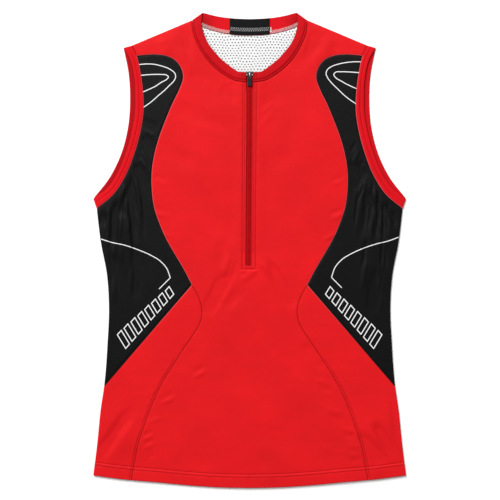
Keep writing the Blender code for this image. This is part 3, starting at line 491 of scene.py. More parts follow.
def make_seams():
    """The right half's seams and stitch lines, worked out once: each name's line in the plane."""
    low, lobe = princess_rows()
    top = np.linspace(LOBE_TOP, LOBE_END, 9)
    arm = armhole_rows()
    neck = smooth(NECK_SEAM, 90)
    slit_y = np.linspace(SLIT_END, NECK_SEAM[0][1], 60)
    slit = np.stack([slit_half(slit_y), slit_y], axis=1)
    hem = smooth(HEM, 90)
    zip_y = np.linspace(SLIT_BOX, TAPE_TOP + 0.4, 120)
    zip_x = slit_half(zip_y) - 0.9 * ramp(zip_y, *SLIT_SPREAD) + 1.4 * ramp(zip_y, 250, 262)
    zip_line = np.stack([zip_x + ZIP_STITCH, zip_y], axis=1)
    zip_edge = np.stack([zip_x + ZIP_EDGE, zip_y], axis=1)[9:]
    return {
        "princess": low, "lobe": np.concatenate([lobe, top[1:]]), "arm": arm, "neck": neck, "slit": slit,
        "split": np.array([SPLIT_TIP, SPLIT_SIDE], float),
        "shoulder": np.array([SHOULDER_NECK, SHOULDER_TIP], float),
        "hem": hem, "hem_low": hem + (0, HEM_STITCH[0]), "hem_high": hem + (0, HEM_STITCH[1]),
        "zip": zip_line, "zip_edge": zip_edge, "box": np.array([(0, SLIT_BOX), zip_line[0]], float),
        "princess_stitch": shifted(spaced(smooth(PRINCESS_SEAM), 110), -PRINCESS_STITCH)[1:68],
        "neck_stitch": shifted(neck, NECK_STITCH)[6:-3],
    }


SEAMS = make_seams()
JOINED = [SEAMS[name] for name in ("princess", "lobe", "arm", "neck", "split", "shoulder")]
STITCHED = [SEAMS[name] for name in ("hem_low", "hem_high", "zip", "zip_edge", "box", "princess_stitch",
                                     "neck_stitch")]
DARK_SEAMS = [SEAMS["lobe"], SEAMS["split"], SEAMS["arm"][TIP_ROWS:]]


# Heights

def hem_edge(x):
    """Height in the plane of the hem's edge."""
    return np.interp(np.abs(x), [p[0] for p in HEM], [p[1] for p in HEM])


def wall_at(x, y, size):
    """Wall thickness of a panel: the hem is turned up, so it is thicker there, with a soft step."""
    wall, hem_wall = size.wall / MM, size.hem_wall / MM
    return hem_wall + (wall - hem_wall) * ramp(y - hem_edge(x), HEM_DEPTH, HEM_DEPTH + HEM_STEP)


def fold_height(x, y, fold, depth=1.0):
    """Height of one fold: a bell across it, which fades out along both of its ends."""
    start = np.array(fold[:2], float)
    way = np.array(fold[2:4], float) - start
    length = np.linalg.norm(way)
    way /= length
    along = ((x - start[0]) * way[0] + (y - start[1]) * way[1]) / length
    across = (x - start[0]) * way[1] - (y - start[1]) * way[0]
    fade = ramp(along, 0, FOLD_FADE[0]) * (1 - ramp(along, FOLD_FADE[1], 1))
    return fold[5] * depth * fade * bell(across / (FOLD_SPREAD * fold[4]))


def box_fold(x, y):
    """The pleat across the zip's lower end: a trough on the stitches and a ridge below them, bells across it
    that end softly past the stitches' width."""
    wide = 1 - ramp(np.abs(x), 7.0, 15.0)
    return wide * (0.55 * bell((y - SLIT_BOX + 3.8) / 4.2) - 1.0 * bell((y - SLIT_BOX) / 2.0))


def rise(x, y, size):
    """Air under the front layer: swells, folds, creases and slow waves, kept off the back layer, held down at
    the shoulders and up over the zip tapes."""
    gap = LAYER_GAP + 0 * x
    for at_x, at_y, size_x, size_y, height in SWELLS:
        gap = gap + height * bell(np.hypot((x - at_x) / size_x, (y - at_y) / size_y))
    for fold in FOLDS + CREASES:
        gap = gap + fold_height(x, y, fold, size.fold_depth)
    for length, turn, shift, height in WAVES:
        along = x * math.cos(math.radians(turn)) + y * math.sin(math.radians(turn))
        gap = gap + height * np.sin(2 * math.pi * along / length + shift)
    gap = gap + box_fold(x, y)
    over_tape = SEAT + TAPE_WALL + SEAT
    beside = 1 - ramp(np.abs(x) - TAPE_HALF, *TAPE_SLOPE)
    beside = beside * ramp(y, SLIT_END - ZIP_END_SLOPE[0], SLIT_END - ZIP_END_SLOPE[1])
    gap = LEAST_GAP + np.logaddexp(0, (gap - LEAST_GAP) / 0.12) * 0.12
    gap = gap + beside * (np.maximum(gap, over_tape) - gap)
    ax, ay = SHOULDER_NECK
    bx, by = SHOULDER_TIP
    below = ((by - ay) * (np.abs(x) - ax) - (bx - ax) * (y - ay)) / math.hypot(bx - ax, by - ay)
    down = 1 - ramp(below, *SHOULDER_SLOPE)
    return gap + down * (SHOULDER_GAP - gap)


def drawn(x, y, size):
    """How far sewing draws the front down: a soft valley along each seam, a narrow one along each stitch line,
    and small ripples beside them."""
    side = np.abs(x)
    seam = distance_to(side, y, JOINED)
    stitch = distance_to(side, y, STITCHED)
    ripple = np.sin(y / 2.3 + 2.2 * np.sin(y / 17.0)) * np.sin(x / 3.1 + 1.7 * np.sin(x / 23.0))
    valley = size.seam_dip / MM * np.exp(-(seam / SEAM_REACH) ** 2)
    return (-valley - size.stitch_dip / MM * np.exp(-(stitch / STITCH_REACH) ** 2)
            + RIPPLE * ripple * np.exp(-np.minimum(seam, stitch) / RIPPLE_REACH))


def layer(x, y, wall, size):
    """Thickness of a piece at a place: a panel's grows at the hem, a band's is even."""
    return wall_at(x, y, size) if wall is None else wall + 0 * x


def front_height(x, y, wall, size):
    """Middle of the front layer's wall, over a back layer of the same thickness."""
    return 1.5 * layer(x, y, wall, size) + rise(x, y, size) + drawn(x, y, size)


def back_height(x, y, wall, size):
    """Middle of the back layer's wall, on the surface but for its folds."""
    lift = 0 * x
    if wall is None:
        for fold in BACK_FOLDS:
            lift = lift + fold_height(x, y, fold, size.fold_depth)
    return layer(x, y, wall, size) / 2 + lift


def sided(grid, side):
    """The grid on the picture's right (+1), or mirrored to its left (-1)."""
    return grid * np.array([side, 1.0])


def laid(grid, side, height, wall, size):
    """Puts a flat grid of the right half on its side and gives it its heights."""
    flat = sided(grid, side)
    return np.concatenate([flat, height(flat[..., 0], flat[..., 1], wall, size)[..., None]], axis=-1)


def turned(edge, outward, side, wall, size):
    """Half a turn of cloth from the front layer to the back one: a half circle, upright, inside an edge seen
    from the front. Gives its axis on the right half, seen from above, and its points on their own side, a row
    for each point of the edge."""
    edge, outward = sided(edge, side), sided(outward, side)
    upper = front_height(edge[:, 0], edge[:, 1], wall, size)
    lower = back_height(edge[:, 0], edge[:, 1], wall, size)
    radius = (upper - lower) / 2
    axis = edge - outward * (radius + layer(edge[:, 0], edge[:, 1], wall, size) / 2)[:, None]
    angle = np.linspace(0, math.pi, ROLL_STEPS + 1)
    flat = axis[:, None] + outward[:, None] * (radius[:, None] * np.sin(angle))[..., None]
    tall = ((upper + lower) / 2)[:, None] + radius[:, None] * np.cos(angle)
    return sided(axis, side), np.concatenate([flat, tall[..., None]], axis=-1)


def follow_hem(grid):
    """Puts the lowest rows of a panel on the hem's curve, each at its distance from the edge."""
    hem = smooth(HEM)
    edge = np.interp(grid[0, :, 0], hem[:, 0], hem[:, 1])
    grid[:len(NEAR_HEM), :, 1] = edge[None] + np.array(NEAR_HEM)[:, None]


def band_width(seam):
    """Width of the armhole band's front at each point of its seam: narrower below the shoulder."""
    return BAND_WIDTH - BAND_DIP * bell((seam[:, 1] - BAND_DIP_AT) / BAND_DIP_HALF)


def leaned(points):
    """Moves the zip's lower end a little to the left, less and less away from it."""
    x, y = points[..., 0], points[..., 1]
    share = (1 - ramp(y, SLIT_END, 236)) * ramp(y, -90, -34) * bell(x / 70)
    moved = points.copy()
    moved[..., 0] = x + ZIP_LEAN * share
    return moved


def top_of(line, size, lift=0.0):
    """A line in the plane laid on the top of the front, with a lift: on the neckband past the neck's seam, on
    the armhole band past the armhole's, and on the panels elsewhere."""
    x, y = line[:, 0], line[:, 1]
    side = np.abs(x)
    neck = np.interp(side, [p[0] for p in NECK_SEAM[:6]], [p[1] for p in NECK_SEAM[:6]])
    arm = SEAMS["arm"][::-1]
    past_arm = (side > np.interp(y, arm[:, 1], arm[:, 0])) & (y > UNDERARM[1])
    past_neck = (y > neck) & (side < 76)
    wall = np.where(past_arm | past_neck, size.band_wall / MM, wall_at(x, y, size))
    z = 2 * wall + rise(x, y, size) + drawn(x, y, size) + lift
    return np.column_stack([x, y, z])


# Meshes

def mesh_of(name, points, faces):
    """A mesh of points in millimetres, an (n, 3) array, and quads, an (m, 4) array, with smooth shading."""
    mesh = bpy.data.meshes.new(name)
    mesh.vertices.add(len(points))
    mesh.vertices.foreach_set("co", (points * MM).astype(np.float32).ravel())
    mesh.loops.add(faces.size)
    mesh.loops.foreach_set("vertex_index", faces.astype(np.int32).ravel())
    mesh.polygons.add(len(faces))
    mesh.polygons.foreach_set("loop_start", np.arange(0, faces.size, 4, dtype=np.int32))
    mesh.polygons.foreach_set("loop_total", np.full(len(faces), 4, dtype=np.int32))
    mesh.update(calc_edges=True)
    mesh.validate()
    mesh.shade_smooth()
    return mesh


def grid_faces(rows, columns, around=False, closed=False):
    """Quads of a grid of rows by columns points: around joins the last column to the first, closed the rows."""
    row = np.arange(rows if closed else rows - 1)[:, None]
    column = np.arange(columns if around else columns - 1)[None]
    after, beside = (row + 1) % rows, (column + 1) % columns
    low, high = row * columns, after * columns
    corners = np.broadcast_arrays(low + column, low + beside, high + beside, high + column)
    return np.stack(corners, axis=-1).reshape(-1, 4)


def copies(faces, count, step):
    """The same quads for count copies of a shape of step points."""
    return (faces[None] + (np.arange(count) * step)[:, None, None]).reshape(-1, 4)


def object_of(name, mesh, finish, body):
    """Puts a mesh in the scene as a piece with its finish, which rides on a body."""
    made = bpy.data.objects.new(name, mesh)
    made.data.materials.append(finish)
    bpy.context.scene.collection.objects.link(made)
    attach(made, body)
    return made


def joined_grids(name, grids, flip):
    """One mesh of several grids of points, merged where they meet."""
    points, faces, start = [], [], 0
    for grid in grids:
        rows, columns = grid.shape[:2]
        quads = grid_faces(rows, columns)
        faces.append((quads[:, ::-1] if flip else quads) + start)
        points.append(grid.reshape(-1, 3))
        start += rows * columns
    mesh = mesh_of(name, np.concatenate(points), np.concatenate(faces))
    shape = bmesh.new()
    shape.from_mesh(mesh)
    bmesh.ops.remove_doubles(shape, verts=shape.verts, dist=0.00001)
    bmesh.ops.dissolve_degenerate(shape, edges=shape.edges, dist=0.000005)
    shape.to_mesh(mesh)
    shape.free()
    return mesh


def outline_of(mesh):
    """The border of an open mesh, as two arrays with the ends of its edges, in millimetres."""
    points = np.empty(len(mesh.vertices) * 3, np.float32)
    mesh.vertices.foreach_get("co", points)
    points = points.reshape(-1, 3) / MM
    used = np.empty(len(mesh.loops), np.int32)
    mesh.loops.foreach_get("edge_index", used)
    ends = np.empty(len(mesh.edges) * 2, np.int32)
    mesh.edges.foreach_get("vertices", ends)
    border = np.bincount(used, minlength=len(mesh.edges)) == 1
    return points, ends.reshape(-1, 2)[border]


def to_border(points, ends, reach=6.0, cell=24.0):
    """Distance of each point to the nearest border edge, no more than a reach: only points near a border
    are compared with it, cell by cell."""
    away = np.full(len(points), reach)
    starts, ways = points[ends[:, 0]], points[ends[:, 1]] - points[ends[:, 0]]
    middle = starts + ways / 2
    keys = np.floor(points[:, :2] / cell).astype(int)
    for key in np.unique(keys, axis=0):
        inside = np.nonzero((keys == key).all(axis=1))[0]
        low, high = key * cell - reach - 4, (key + 1) * cell + reach + 4
        near = ((middle[:, :2] > low) & (middle[:, :2] < high)).all(axis=1)
        if near.any():
            away[inside] = np.minimum(reach, to_segments(points[inside], starts[near], ways[near]))
    return away


def cloth(name, grids, finish, size, wall=None, side=1, nodes=(), rounded=0.7, lean=False, shade=None):
    """A sheet of cloth: its grids merged, with a wall that narrows along a quarter circle to its border. It
    keeps, as attributes, each point's distance to its border, to the nearest stitch line and to the nearest
    seam between dark and light cloth, and how deep in shade it lies. A leaning piece follows the zip."""
    mesh = joined_grids(name, grids, side < 0)
    points, ends = outline_of(mesh)
    border = to_border(points, ends)
    full = np.full(len(points), wall) if wall is not None else wall_at(points[:, 0], points[:, 1], size)
    near = np.clip(border / rounded, 0, 1)
    share = full / full.max() * (0.5 + 0.5 * np.sqrt(1 - (1 - near) ** 2))
    keep_attribute(mesh, "border", border)
    place = np.abs(points[:, 0]), points[:, 1]
    keep_attribute(mesh, "stitch", np.minimum(distance_to(*place, STITCHED), 9.0))
    keep_attribute(mesh, "dark_seam", np.minimum(distance_to(*place, DARK_SEAMS), 9.0))
    if shade is not None:
        keep_attribute(mesh, "shade", shade(points, border))
    if lean:
        mesh.vertices.foreach_set("co", (leaned(points) * MM).astype(np.float32).ravel())
    made = object_of(name, mesh, finish, "garment")
    group = made.vertex_groups.new(name="wall")
    level = np.round(share * 40).astype(int)
    for step in np.unique(level):
        group.add(np.nonzero(level == step)[0].tolist(), float(step) / 40, "REPLACE")
    solid = made.modifiers.new("wall", "SOLIDIFY")
    solid.thickness = float(full.max()) * MM
    solid.offset = 0
    solid.vertex_group = group.name
    if nodes:
        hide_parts(*nodes)
    return made


def keep_attribute(mesh, name, values):
    """Keeps a number for each point of a mesh."""
    made = mesh.attributes.new(name, "FLOAT", "POINT")
    made.data.foreach_set("value", values.astype(np.float32))


def rings(across, lift, around, start=0.0):
    """Circles in the planes of pairs of directions: a ring of points for each pair."""
    angle = np.arange(around) * 2 * math.pi / around + start
    return across[:, None] * np.cos(angle)[None, :, None] + lift[:, None] * np.sin(angle)[None, :, None]


def tube_points(path, radius, around):
    """Rings along a path, each a circle square to the path. The radius may change from ring to ring."""
    way = unit(np.gradient(path, axis=0))
    across = unit(np.cross(way, UP))
    size = np.broadcast_to(radius, (len(path),))[:, None, None]
    return path[:, None] + rings(across, np.cross(across, way), around) * size


def tube(name, paths, radius, around, finish, body, closed=False):
    """Round threads or wires along paths of equal count: each a tube, open ones narrowed to their ends."""
    points = []
    for path in paths:
        if closed:
            wide = np.concatenate([path[-2:], path, path[:2]])
            points.append(tube_points(wide, radius, around)[2:-2])
        else:
            size = np.full(len(path), radius)
            size[[0, -1]] = radius * 0.15
            points.append(tube_points(path, size, around))
    points = np.stack(points)
    rows = points.shape[1]
    faces = copies(grid_faces(rows, around, around=True, closed=closed), len(points), rows * around)
    return object_of(name, mesh_of(name, points.reshape(-1, 3), faces), finish, body)


def stitches(name, lines, finish, size, sink=0.16):
    """Sewn stitches along lines in space: at each step of the pitch a short thread whose height is an arch,
    radius times one less the fourth power of the share along it, with its ends sunk into the cloth."""
    pitch = size.stitch_pitch / MM
    half, radius = size.stitch_length / MM / 2, size.thread / MM / 2
    middles, ways = [], []
    for line in lines:
        total = run_of(line)[-1]
        count = max(1, int(total / pitch))
        where = (np.arange(count) + 0.5) * total / count
        middles.append(at_lengths(line, where))
        ways.append(unit(at_lengths(line, where + 0.6) - at_lengths(line, where - 0.6)))
    middle, way = np.concatenate(middles), np.concatenate(ways)
    across = unit(np.cross(way, UP))
    lift = np.cross(across, way)
    u = np.array([-1.0, -0.78, 0.0, 0.78, 1.0])
    thick = radius * np.array([0.25, 0.85, 1.0, 0.85, 0.25])
    height = radius * (1 - u ** 4) - sink * u ** 4
    core = middle[:, None] + way[:, None] * (half * u)[None, :, None] + lift[:, None] * height[None, :, None]
    points = core[:, :, None] + rings(across, lift, 5, 0.3)[:, None] * thick[None, :, None, None]
    faces = copies(grid_faces(5, 5, around=True), len(middle), 25)
    return object_of(name, mesh_of(name, points.reshape(-1, 3), faces), finish, "garment")


def ribbon(name, lines, width, finish, size, closed=False):
    """Flat printed lines on the front: each a strip across whose width the height bows up by a hair, so that
    its edges touch the cloth."""
    share = np.array([-1.0, -0.55, 0.0, 0.55, 1.0])
    lift = np.array([0.02, 0.13, 0.16, 0.13, 0.02])
    points, faces, start = [], [], 0
    for line in lines:
        if closed:
            wide = np.concatenate([line[-1:], line, line[:1]])
            before, after = left_of(unit(line - wide[:-2])), left_of(unit(wide[2:] - line))
            off = (before + after) / np.maximum(1 + (before * after).sum(axis=1), 0.3)[:, None]
        else:
            off = normals(line)
        flat = line[:, None] + off[:, None] * (share * width / 2)[None, :, None]
        rows = len(line)
        top = top_of(flat.reshape(-1, 2), size).reshape(rows, 5, 3)
        top[..., 2] += lift
        points.append(top.reshape(-1, 3))
        faces.append(grid_faces(rows, 5, closed=closed)[:, ::-1] + start)
        start += rows * 5
    mesh = mesh_of(name, np.concatenate(points), np.concatenate(faces))
    return object_of(name, mesh, finish, "garment")


# Shapes of the pieces

def band_profile(grid, height, bow, grooves):
    """Rounds a band across its width: a bow with the fourth power of the share from its middle, and a narrow
    groove at each given share."""
    share = BAND_SHARES[None]
    bowed = bow * (1 - (2 * share - 1) ** 4)
    cut = sum(depth * np.exp(-((share - at) * BAND_WIDTH / 0.6) ** 2) for at, depth in grooves)
    shaped = grid.copy()
    shaped[..., 2] = grid[..., 2] + height * (bowed - cut)
    return shaped


def banded(inner, outer):
    """Rows across a band from each inner point to its outer partner, at the band's shares."""
    t = BAND_SHARES[None, :, None]
    return inner[:, None] * (1 - t) + outer[:, None] * t


def front_half(side, size):
    """Half of the front, ruled from the centre, slit and neck to the princess seam, lobe and armhole."""
    low, lobe = princess_rows()
    top = spaced(np.array([LOBE_TOP, LOBE_END], float), LOBE_END_ROWS)
    outer = np.concatenate([low, lobe[1:], top[1:], armhole_rows()[::-1][-TIP_ROWS:]])
    corner = len(low) + len(lobe) + LOBE_END_ROWS - 2
    moved = shifted(outer, SEAM / 2)
    moved[corner] = outer[corner] + np.array([-1.0, 1.0]) * SEAM / 2
    centre = np.array([(0, HEM[0][1]), (0, SLIT_END - SLIT_POINT)], float)
    centre = spaced(centre, len(outer) - ZIP_ROWS - NECK_ROWS - 2, NEAR_HEM, NEAR_BOX)
    slit_y = np.linspace(SLIT_END, NECK_SEAM[0][1] - SEAM / 2, ZIP_ROWS + 1)
    slit = np.stack([slit_half(slit_y), slit_y], axis=1)
    neck = shifted(spaced(smooth(NECK_SEAM), NECK_ROWS, NEAR_ZIP), -SEAM / 2)[1:]
    grid = ruled(np.concatenate([centre, slit, neck]), moved, FRONT_COLUMNS, NEAR_SEAM, NEAR_SEAM)
    follow_hem(grid)
    return laid(grid, side, front_height, None, size)


def side_grids(side, inner, edge, back, above, columns, size):
    """A side panel: ruled out to the side fold, or to the armhole seam above it, and wrapped on to the back.

    Above holds the rows of the front armhole seam, none on the lower panel."""
    axis, turn = turned(edge, -normals(edge), side, None, size)
    near = NEAR_SEAM[:6]
    front = ruled(inner, np.concatenate([axis, above]), columns, near, near)
    under = ruled(axis, back, WRAP_ROWS)
    if len(above):
        under[-1, 1:] = shifted(back_armhole_seam(), -SEAM / 2)[::-1][1:WRAP_ROWS + 1]
    else:
        follow_hem(front[:, 1:-1])
    front = laid(front, side, front_height, None, size)
    under = laid(under, side, back_height, None, size)
    front[:len(edge), -1], under[:, 0] = turn[:, 0], turn[:, -1]
    return [front, turn, under]


def side_upper(side, size):
    """The dark side panel, from the slanted seam to the armhole and the lobe on the chest."""
    inner = shifted(trim_ends(princess_rows()[1], SEAM / 2, 0), -SEAM / 2)
    line = part_of(smooth(SIDE_EDGE), SPLIT_SIDE, UNDERARM)
    edge = spaced(trimmed(line, SEAM / 2, SEAM / 2), UNDERARM_ROWS, NEAR_SPLIT)
    seam = armhole_rows()[TIP_ROWS:][::-1]
    above = shifted(seam, SEAM / 2)[1:]
    above[-1] = seam[-1] + (0, -SEAM / 2)
    back = shifted(trim_ends(side_back_rows()[1], SEAM / 2, SEAM), -SEAM / 2)
    return side_grids(side, inner, edge, back, above, SIDE_COLUMNS, size)


def side_lower(side, size):
    """The side panel below the slanted seam, down to the hem."""
    inner = shifted(trim_ends(princess_rows()[0], 0, SEAM / 2), -SEAM / 2)
    line = part_of(smooth(SIDE_EDGE), HEM_SIDE, SPLIT_SIDE)
    edge = spaced(trimmed(line, 0, SEAM / 2), LOW_ROWS, NEAR_HEM, NEAR_SPLIT)
    back = shifted(trim_ends(side_back_rows()[0], 0, SEAM / 2), -SEAM / 2)
    return side_grids(side, inner, edge, back, np.zeros((0, 2)), LOW_SIDE_COLUMNS, size)


def trim_ends(points, start, end):
    """The line with its first and last points moved in along it, and the same count of points."""
    moved = points.copy()
    for at, beside, room in ((0, 1, start), (-1, -2, end)):
        way = points[beside] - points[at]
        length = np.linalg.norm(way)
        moved[at] = points[at] + way / length * min(room, length * 0.8)
    return moved


def back_half(size):
    """Half of the mesh back, from the hem to the neck and the shoulders."""
    low, high = side_back_rows()
    side = shifted(np.concatenate([low, high[1:]]), SEAM / 2)
    upper = shifted(back_armhole_seam()[::-1], SEAM / 2)[WRAP_ROWS:]
    side[-1] = upper[0] + (-SEAM / 2, 0)
    outer = np.concatenate([side, upper[1:]])
    neck = shifted(spaced(smooth(BACK_NECK_SEAM), BACK_NECK_ROWS), -SEAM / 2)
    neck[-1] += unit(np.array(SHOULDER_TIP, float) - SHOULDER_NECK) * TURN_ROOM
    rows = len(outer) - len(neck)
    centre = spaced(np.array([(0, HEM[0][1]), (0, neck[0, 1])], float), rows, NEAR_HEM)
    half = ruled(np.concatenate([centre, neck[1:]]), outer, BACK_COLUMNS, (0.0,), NEAR_SEAM[:6])
    follow_hem(half)
    return half


def across(first, second):
    """Points on the straight line between two places at a band's shares, and the unit vector to its left."""
    line = banded(np.array([first], float), np.array([second], float))[0]
    return line, np.tile(left_of(unit(line[-1] - line[0])), (len(line), 1))


def fitted(line, start, end):
    """A line whose ends are eased to two places, with little change in between."""
    share = np.linspace(0, 1, len(line))[:, None]
    return line + (np.array(start) - line[0]) * (1 - share) ** 8 + (np.array(end) - line[-1]) * share ** 8


def armhole_grids(side, size):
    """An armhole band: front stretch, turn at the underarm, back stretch, turn at the shoulder."""
    wall = size.band_wall / MM
    seam = armhole_rows()
    rim = fitted(shifted(seam, band_width(seam)[:, None]), SHOULDER_EDGE, UNDERARM_EDGE)
    front = banded(shifted(seam, SEAM / 2), rim)
    back_rim = spaced(smooth(BACK_ARMHOLE_EDGE), BACK_ARM_ROWS)
    back = banded(shifted(back_armhole_seam(), SEAM / 2), back_rim)[::-1]
    low, low_way = across(np.array(UNDERARM) + (0, SEAM / 2), UNDERARM_EDGE)
    high, high_way = across(np.array(SHOULDER_TIP) + (SEAM / 2, 0), SHOULDER_EDGE)
    low_axis, low_turn = turned(low, -low_way, side, wall, size)
    high_axis, high_turn = turned(high, high_way, side, wall, size)
    front[0], front[-1] = back[-1], back[0] = high_axis, low_axis
    over = laid(front, side, front_height, wall, size)
    under = laid(back, side, back_height, wall, size)
    fade = np.sin(np.linspace(0, math.pi, len(over)))[:, None] ** 0.3
    over = band_profile(over, fade, 0.55, [(0.5, 0.75)])
    over[0], over[-1] = high_turn[:, 0], low_turn[:, 0]
    under[0], under[-1] = low_turn[:, -1], high_turn[:, -1]
    return [over, low_turn.transpose(1, 0, 2), under, high_turn.transpose(1, 0, 2)[::-1]]


def neckband_half(side, size):
    """Half of the neckband: front stretch from the zip, turn at the shoulder, back stretch to the centre."""
    wall = size.band_wall / MM
    seam = shifted(spaced(smooth(NECK_SEAM), NECK_ROWS, NEAR_ZIP), SEAM / 2)
    front = banded(seam, spaced(smooth(NECK_EDGE), NECK_ROWS, NEAR_ZIP))
    front[0, :, 0] = SLIT_WIDE
    back_seam = shifted(spaced(smooth(BACK_NECK_SEAM), BACK_NECK_ROWS), SEAM / 2)
    back = banded(back_seam, spaced(smooth(BACK_NECK_EDGE), BACK_NECK_ROWS))[::-1]
    line, way = across(np.array(SHOULDER_NECK) + (0, SEAM / 2), NECK_HIGH)
    axis, turn = turned(line, -way, side, wall, size)
    front[-1] = back[0] = axis
    back[-1, :, 0] = 0
    over = laid(front, side, front_height, wall, size)
    under = laid(back, side, back_height, wall, size)
    fade = (1 - ramp(np.linspace(0, 1, len(over)), 0.9, 1.0))[:, None]
    over = band_profile(over, fade, 0.4, [(NECK_STITCH / 13.0, 1.0)])
    over[-1], under[0] = turn[:, 0], turn[:, -1]
    return [over, turn.transpose(1, 0, 2), under]


def facing_grid(size):
    """The dark facing inside the back of the neckband: straight across from its lower to its upper edge, drawn
    down along its two rows of stitches."""
    x = np.linspace(-PATCH_HALF, PATCH_HALF, FACING_COLUMNS + 1)
    low, high = (np.stack([x, np.interp(np.abs(x), *smooth(line).T) + inset], axis=1)
                 for line, inset in ((BACK_NECK_SEAM, PATCH_INSET), (BACK_NECK_EDGE, -PATCH_INSET)))
    flat = ruled(low, high, FACING_ROWS, NEAR_FACING, NEAR_FACING)
    y = flat[..., 1] - low[:, 1][:, None]
    lines = sum(np.exp(-((y - row) / 0.7) ** 2) for row in FACING_STITCH)
    wave = 0.08 * np.sin(flat[..., 0] / 4.7) * np.sin(y / 3.9)
    height = size.band_wall / MM + SEAT + size.facing_wall / MM / 2 - 0.16 * lines + wave
    return np.concatenate([flat, height[..., None]], axis=-1)


def tape_grid(side, size):
    """One tape of the closed zip, flat but for the low cords woven along it."""
    y = np.linspace(SLIT_END - TAPE_PAST_SLIT, TAPE_TOP, TAPE_ROWS + 1)
    near, far = (np.stack([0 * y + x, y], axis=1) for x in (0.12, TAPE_HALF))
    flat = ruled(near, far, TAPE_COLUMNS, NEAR_TAPE, NEAR_TAPE)
    height = size.wall / MM + SEAT + TAPE_WALL / 2 + 0.10 * np.cos(flat[..., 0] * 2 * math.pi / 1.5)
    return np.concatenate([sided(flat, side), height[..., None]], axis=-1)


def coil_path(side):
    """The nylon coil on one tape: a helix squeezed flat, whose loops reach just past the middle between the
    other side's loops."""
    low, high = SLIT_END - 3.0, HINGE_Y - 2.0
    turns = (high - low) / COIL_PITCH
    angle = np.linspace(0, turns, int(turns * 12)) * 2 * math.pi + (math.pi if side > 0 else 0)
    share = np.linspace(0, 1, len(angle))
    x = side * (COIL_REACH / 2 - 0.12 - (COIL_REACH / 2 + 0.12) * np.cos(angle))
    return np.column_stack([x, low + share * (high - low), 3.02 + 0.34 * np.sin(angle)])


def pillow(name, plate, finish, body, nodes=(), ribs=0.0, side=1):
    """A rounded plate: top and bottom sheets z = half height times (1 - |u| to a power) (1 - |v| to another),
    to the fourth root, over u and v from -1 to 1, with its corners drawn in, its foot tapered, and ribs
    across its top."""
    half, middle, powers, taper = plate
    u, v = np.meshgrid(*(np.sin(np.linspace(-1, 1, count) * math.pi / 2) for count in (33, 61)))
    wide = taper[0] + (taper[1] - taper[0]) * ramp(v, -0.6, taper[2])
    x = side * middle[0] + half[0] * u * wide * (1 - 0.10 * np.abs(v) ** 9)
    y = half[1] * v * (1 - 0.09 * np.abs(u) ** 7)
    dome = ((1 - np.abs(u) ** powers[0]) * (1 - np.abs(v) ** powers[1])) ** 0.25
    cut = ribs * (0.5 + 0.5 * np.cos(y * 2 * math.pi / 2.0)) * bell(u / 0.86) * bell(v / 0.8)
    top, bottom = (np.stack([x, y + middle[1], z], axis=-1)
                   for z in (middle[2] + half[2] * dome - cut, middle[2] - half[2] * dome))
    made = object_of(name, joined_grids(name, [top, bottom[:, ::-1]], False), finish, body)
    if nodes:
        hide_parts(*nodes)


def strap(name, path, bar, finish, body, around=20):
    """A flat bar bent in the plane of Y and Z: an ellipse, given by its half width along X and its half
    thickness, carried along a path."""
    way = unit(np.gradient(path, axis=0))
    lift = np.cross(np.array([1.0, 0.0, 0.0]), way) * bar[1]
    points = path[:, None] + rings(0 * path + (bar[0], 0, 0), lift, around)
    mesh = mesh_of(name, points.reshape(-1, 3), grid_faces(len(path), around, around=True))
    object_of(name, mesh, finish, body)


# Nodes and materials

def link_to(tree, socket, value):
    """Puts a number or a colour in a socket, or joins it to another socket."""
    if isinstance(value, bpy.types.NodeSocket):
        tree.links.new(value, socket)
    else:
        socket.default_value = value


def add(tree, kind, settings=None, **inputs):
    """A node with its settings, and values or links for the inputs named by their number, as in i0."""
    made = tree.nodes.new(kind)
    for key, value in (settings or {}).items():
        setattr(made, key, value)
    for key, value in inputs.items():
        link_to(tree, made.inputs[int(key[1:])], value)
    return made


def calc(tree, operation, a, b=0.0, c=0.0):
    """A Math node's result."""
    return add(tree, "ShaderNodeMath", {"operation": operation}, i0=a, i1=b, i2=c).outputs[0]


def times(tree, a, b, plus=None):
    """A product, or a product and a sum."""
    return calc(tree, "MULTIPLY", a, b) if plus is None else calc(tree, "MULTIPLY_ADD", a, b, plus)


def step_down(tree, value, low, high):
    """One below the low value, falling to zero at the high one."""
    return add(tree, "ShaderNodeMapRange", {"interpolation_type": "SMOOTHSTEP"}, i0=value, i1=low, i2=high,
               i3=1.0, i4=0.0).outputs[0]


def noise(tree, vector, scale, detail=2.0):
    """A Noise Texture's value."""
    made = tree.nodes.new("ShaderNodeTexNoise")
    for label, value in (("Vector", vector), ("Scale", scale), ("Detail", detail)):
        link_to(tree, made.inputs[label], value)
    return made.outputs[0]


def blend(tree, share, first, second):
    """A mix of two colours."""
    return add(tree, "ShaderNodeMix", {"data_type": "RGBA"}, i0=share, i6=first, i7=second).outputs[2]


def kept(tree, name):
    """A number that the mesh keeps for each of its points."""
    return add(tree, "ShaderNodeAttribute", {"attribute_name": name}).outputs["Fac"]


def group_of(name, inputs, outputs, fill):
    """A shader node group, built once, with named inputs and outputs."""
    if name in bpy.data.node_groups:
        return bpy.data.node_groups[name]
    tree = bpy.data.node_groups.new(name, "ShaderNodeTree")
    for label, kind, value in inputs:
        made = tree.interface.new_socket(name=label, in_out="INPUT", socket_type=kind)
        if value is not None:
            made.default_value = value
    for label in outputs:
        tree.interface.new_socket(name=label, in_out="OUTPUT", socket_type="NodeSocketFloat")
    entry, leave = tree.nodes.new("NodeGroupInput"), tree.nodes.new("NodeGroupOutput")
    for label, value in fill(tree, entry.outputs).items():
        tree.links.new(value, leave.inputs[label])
    return tree


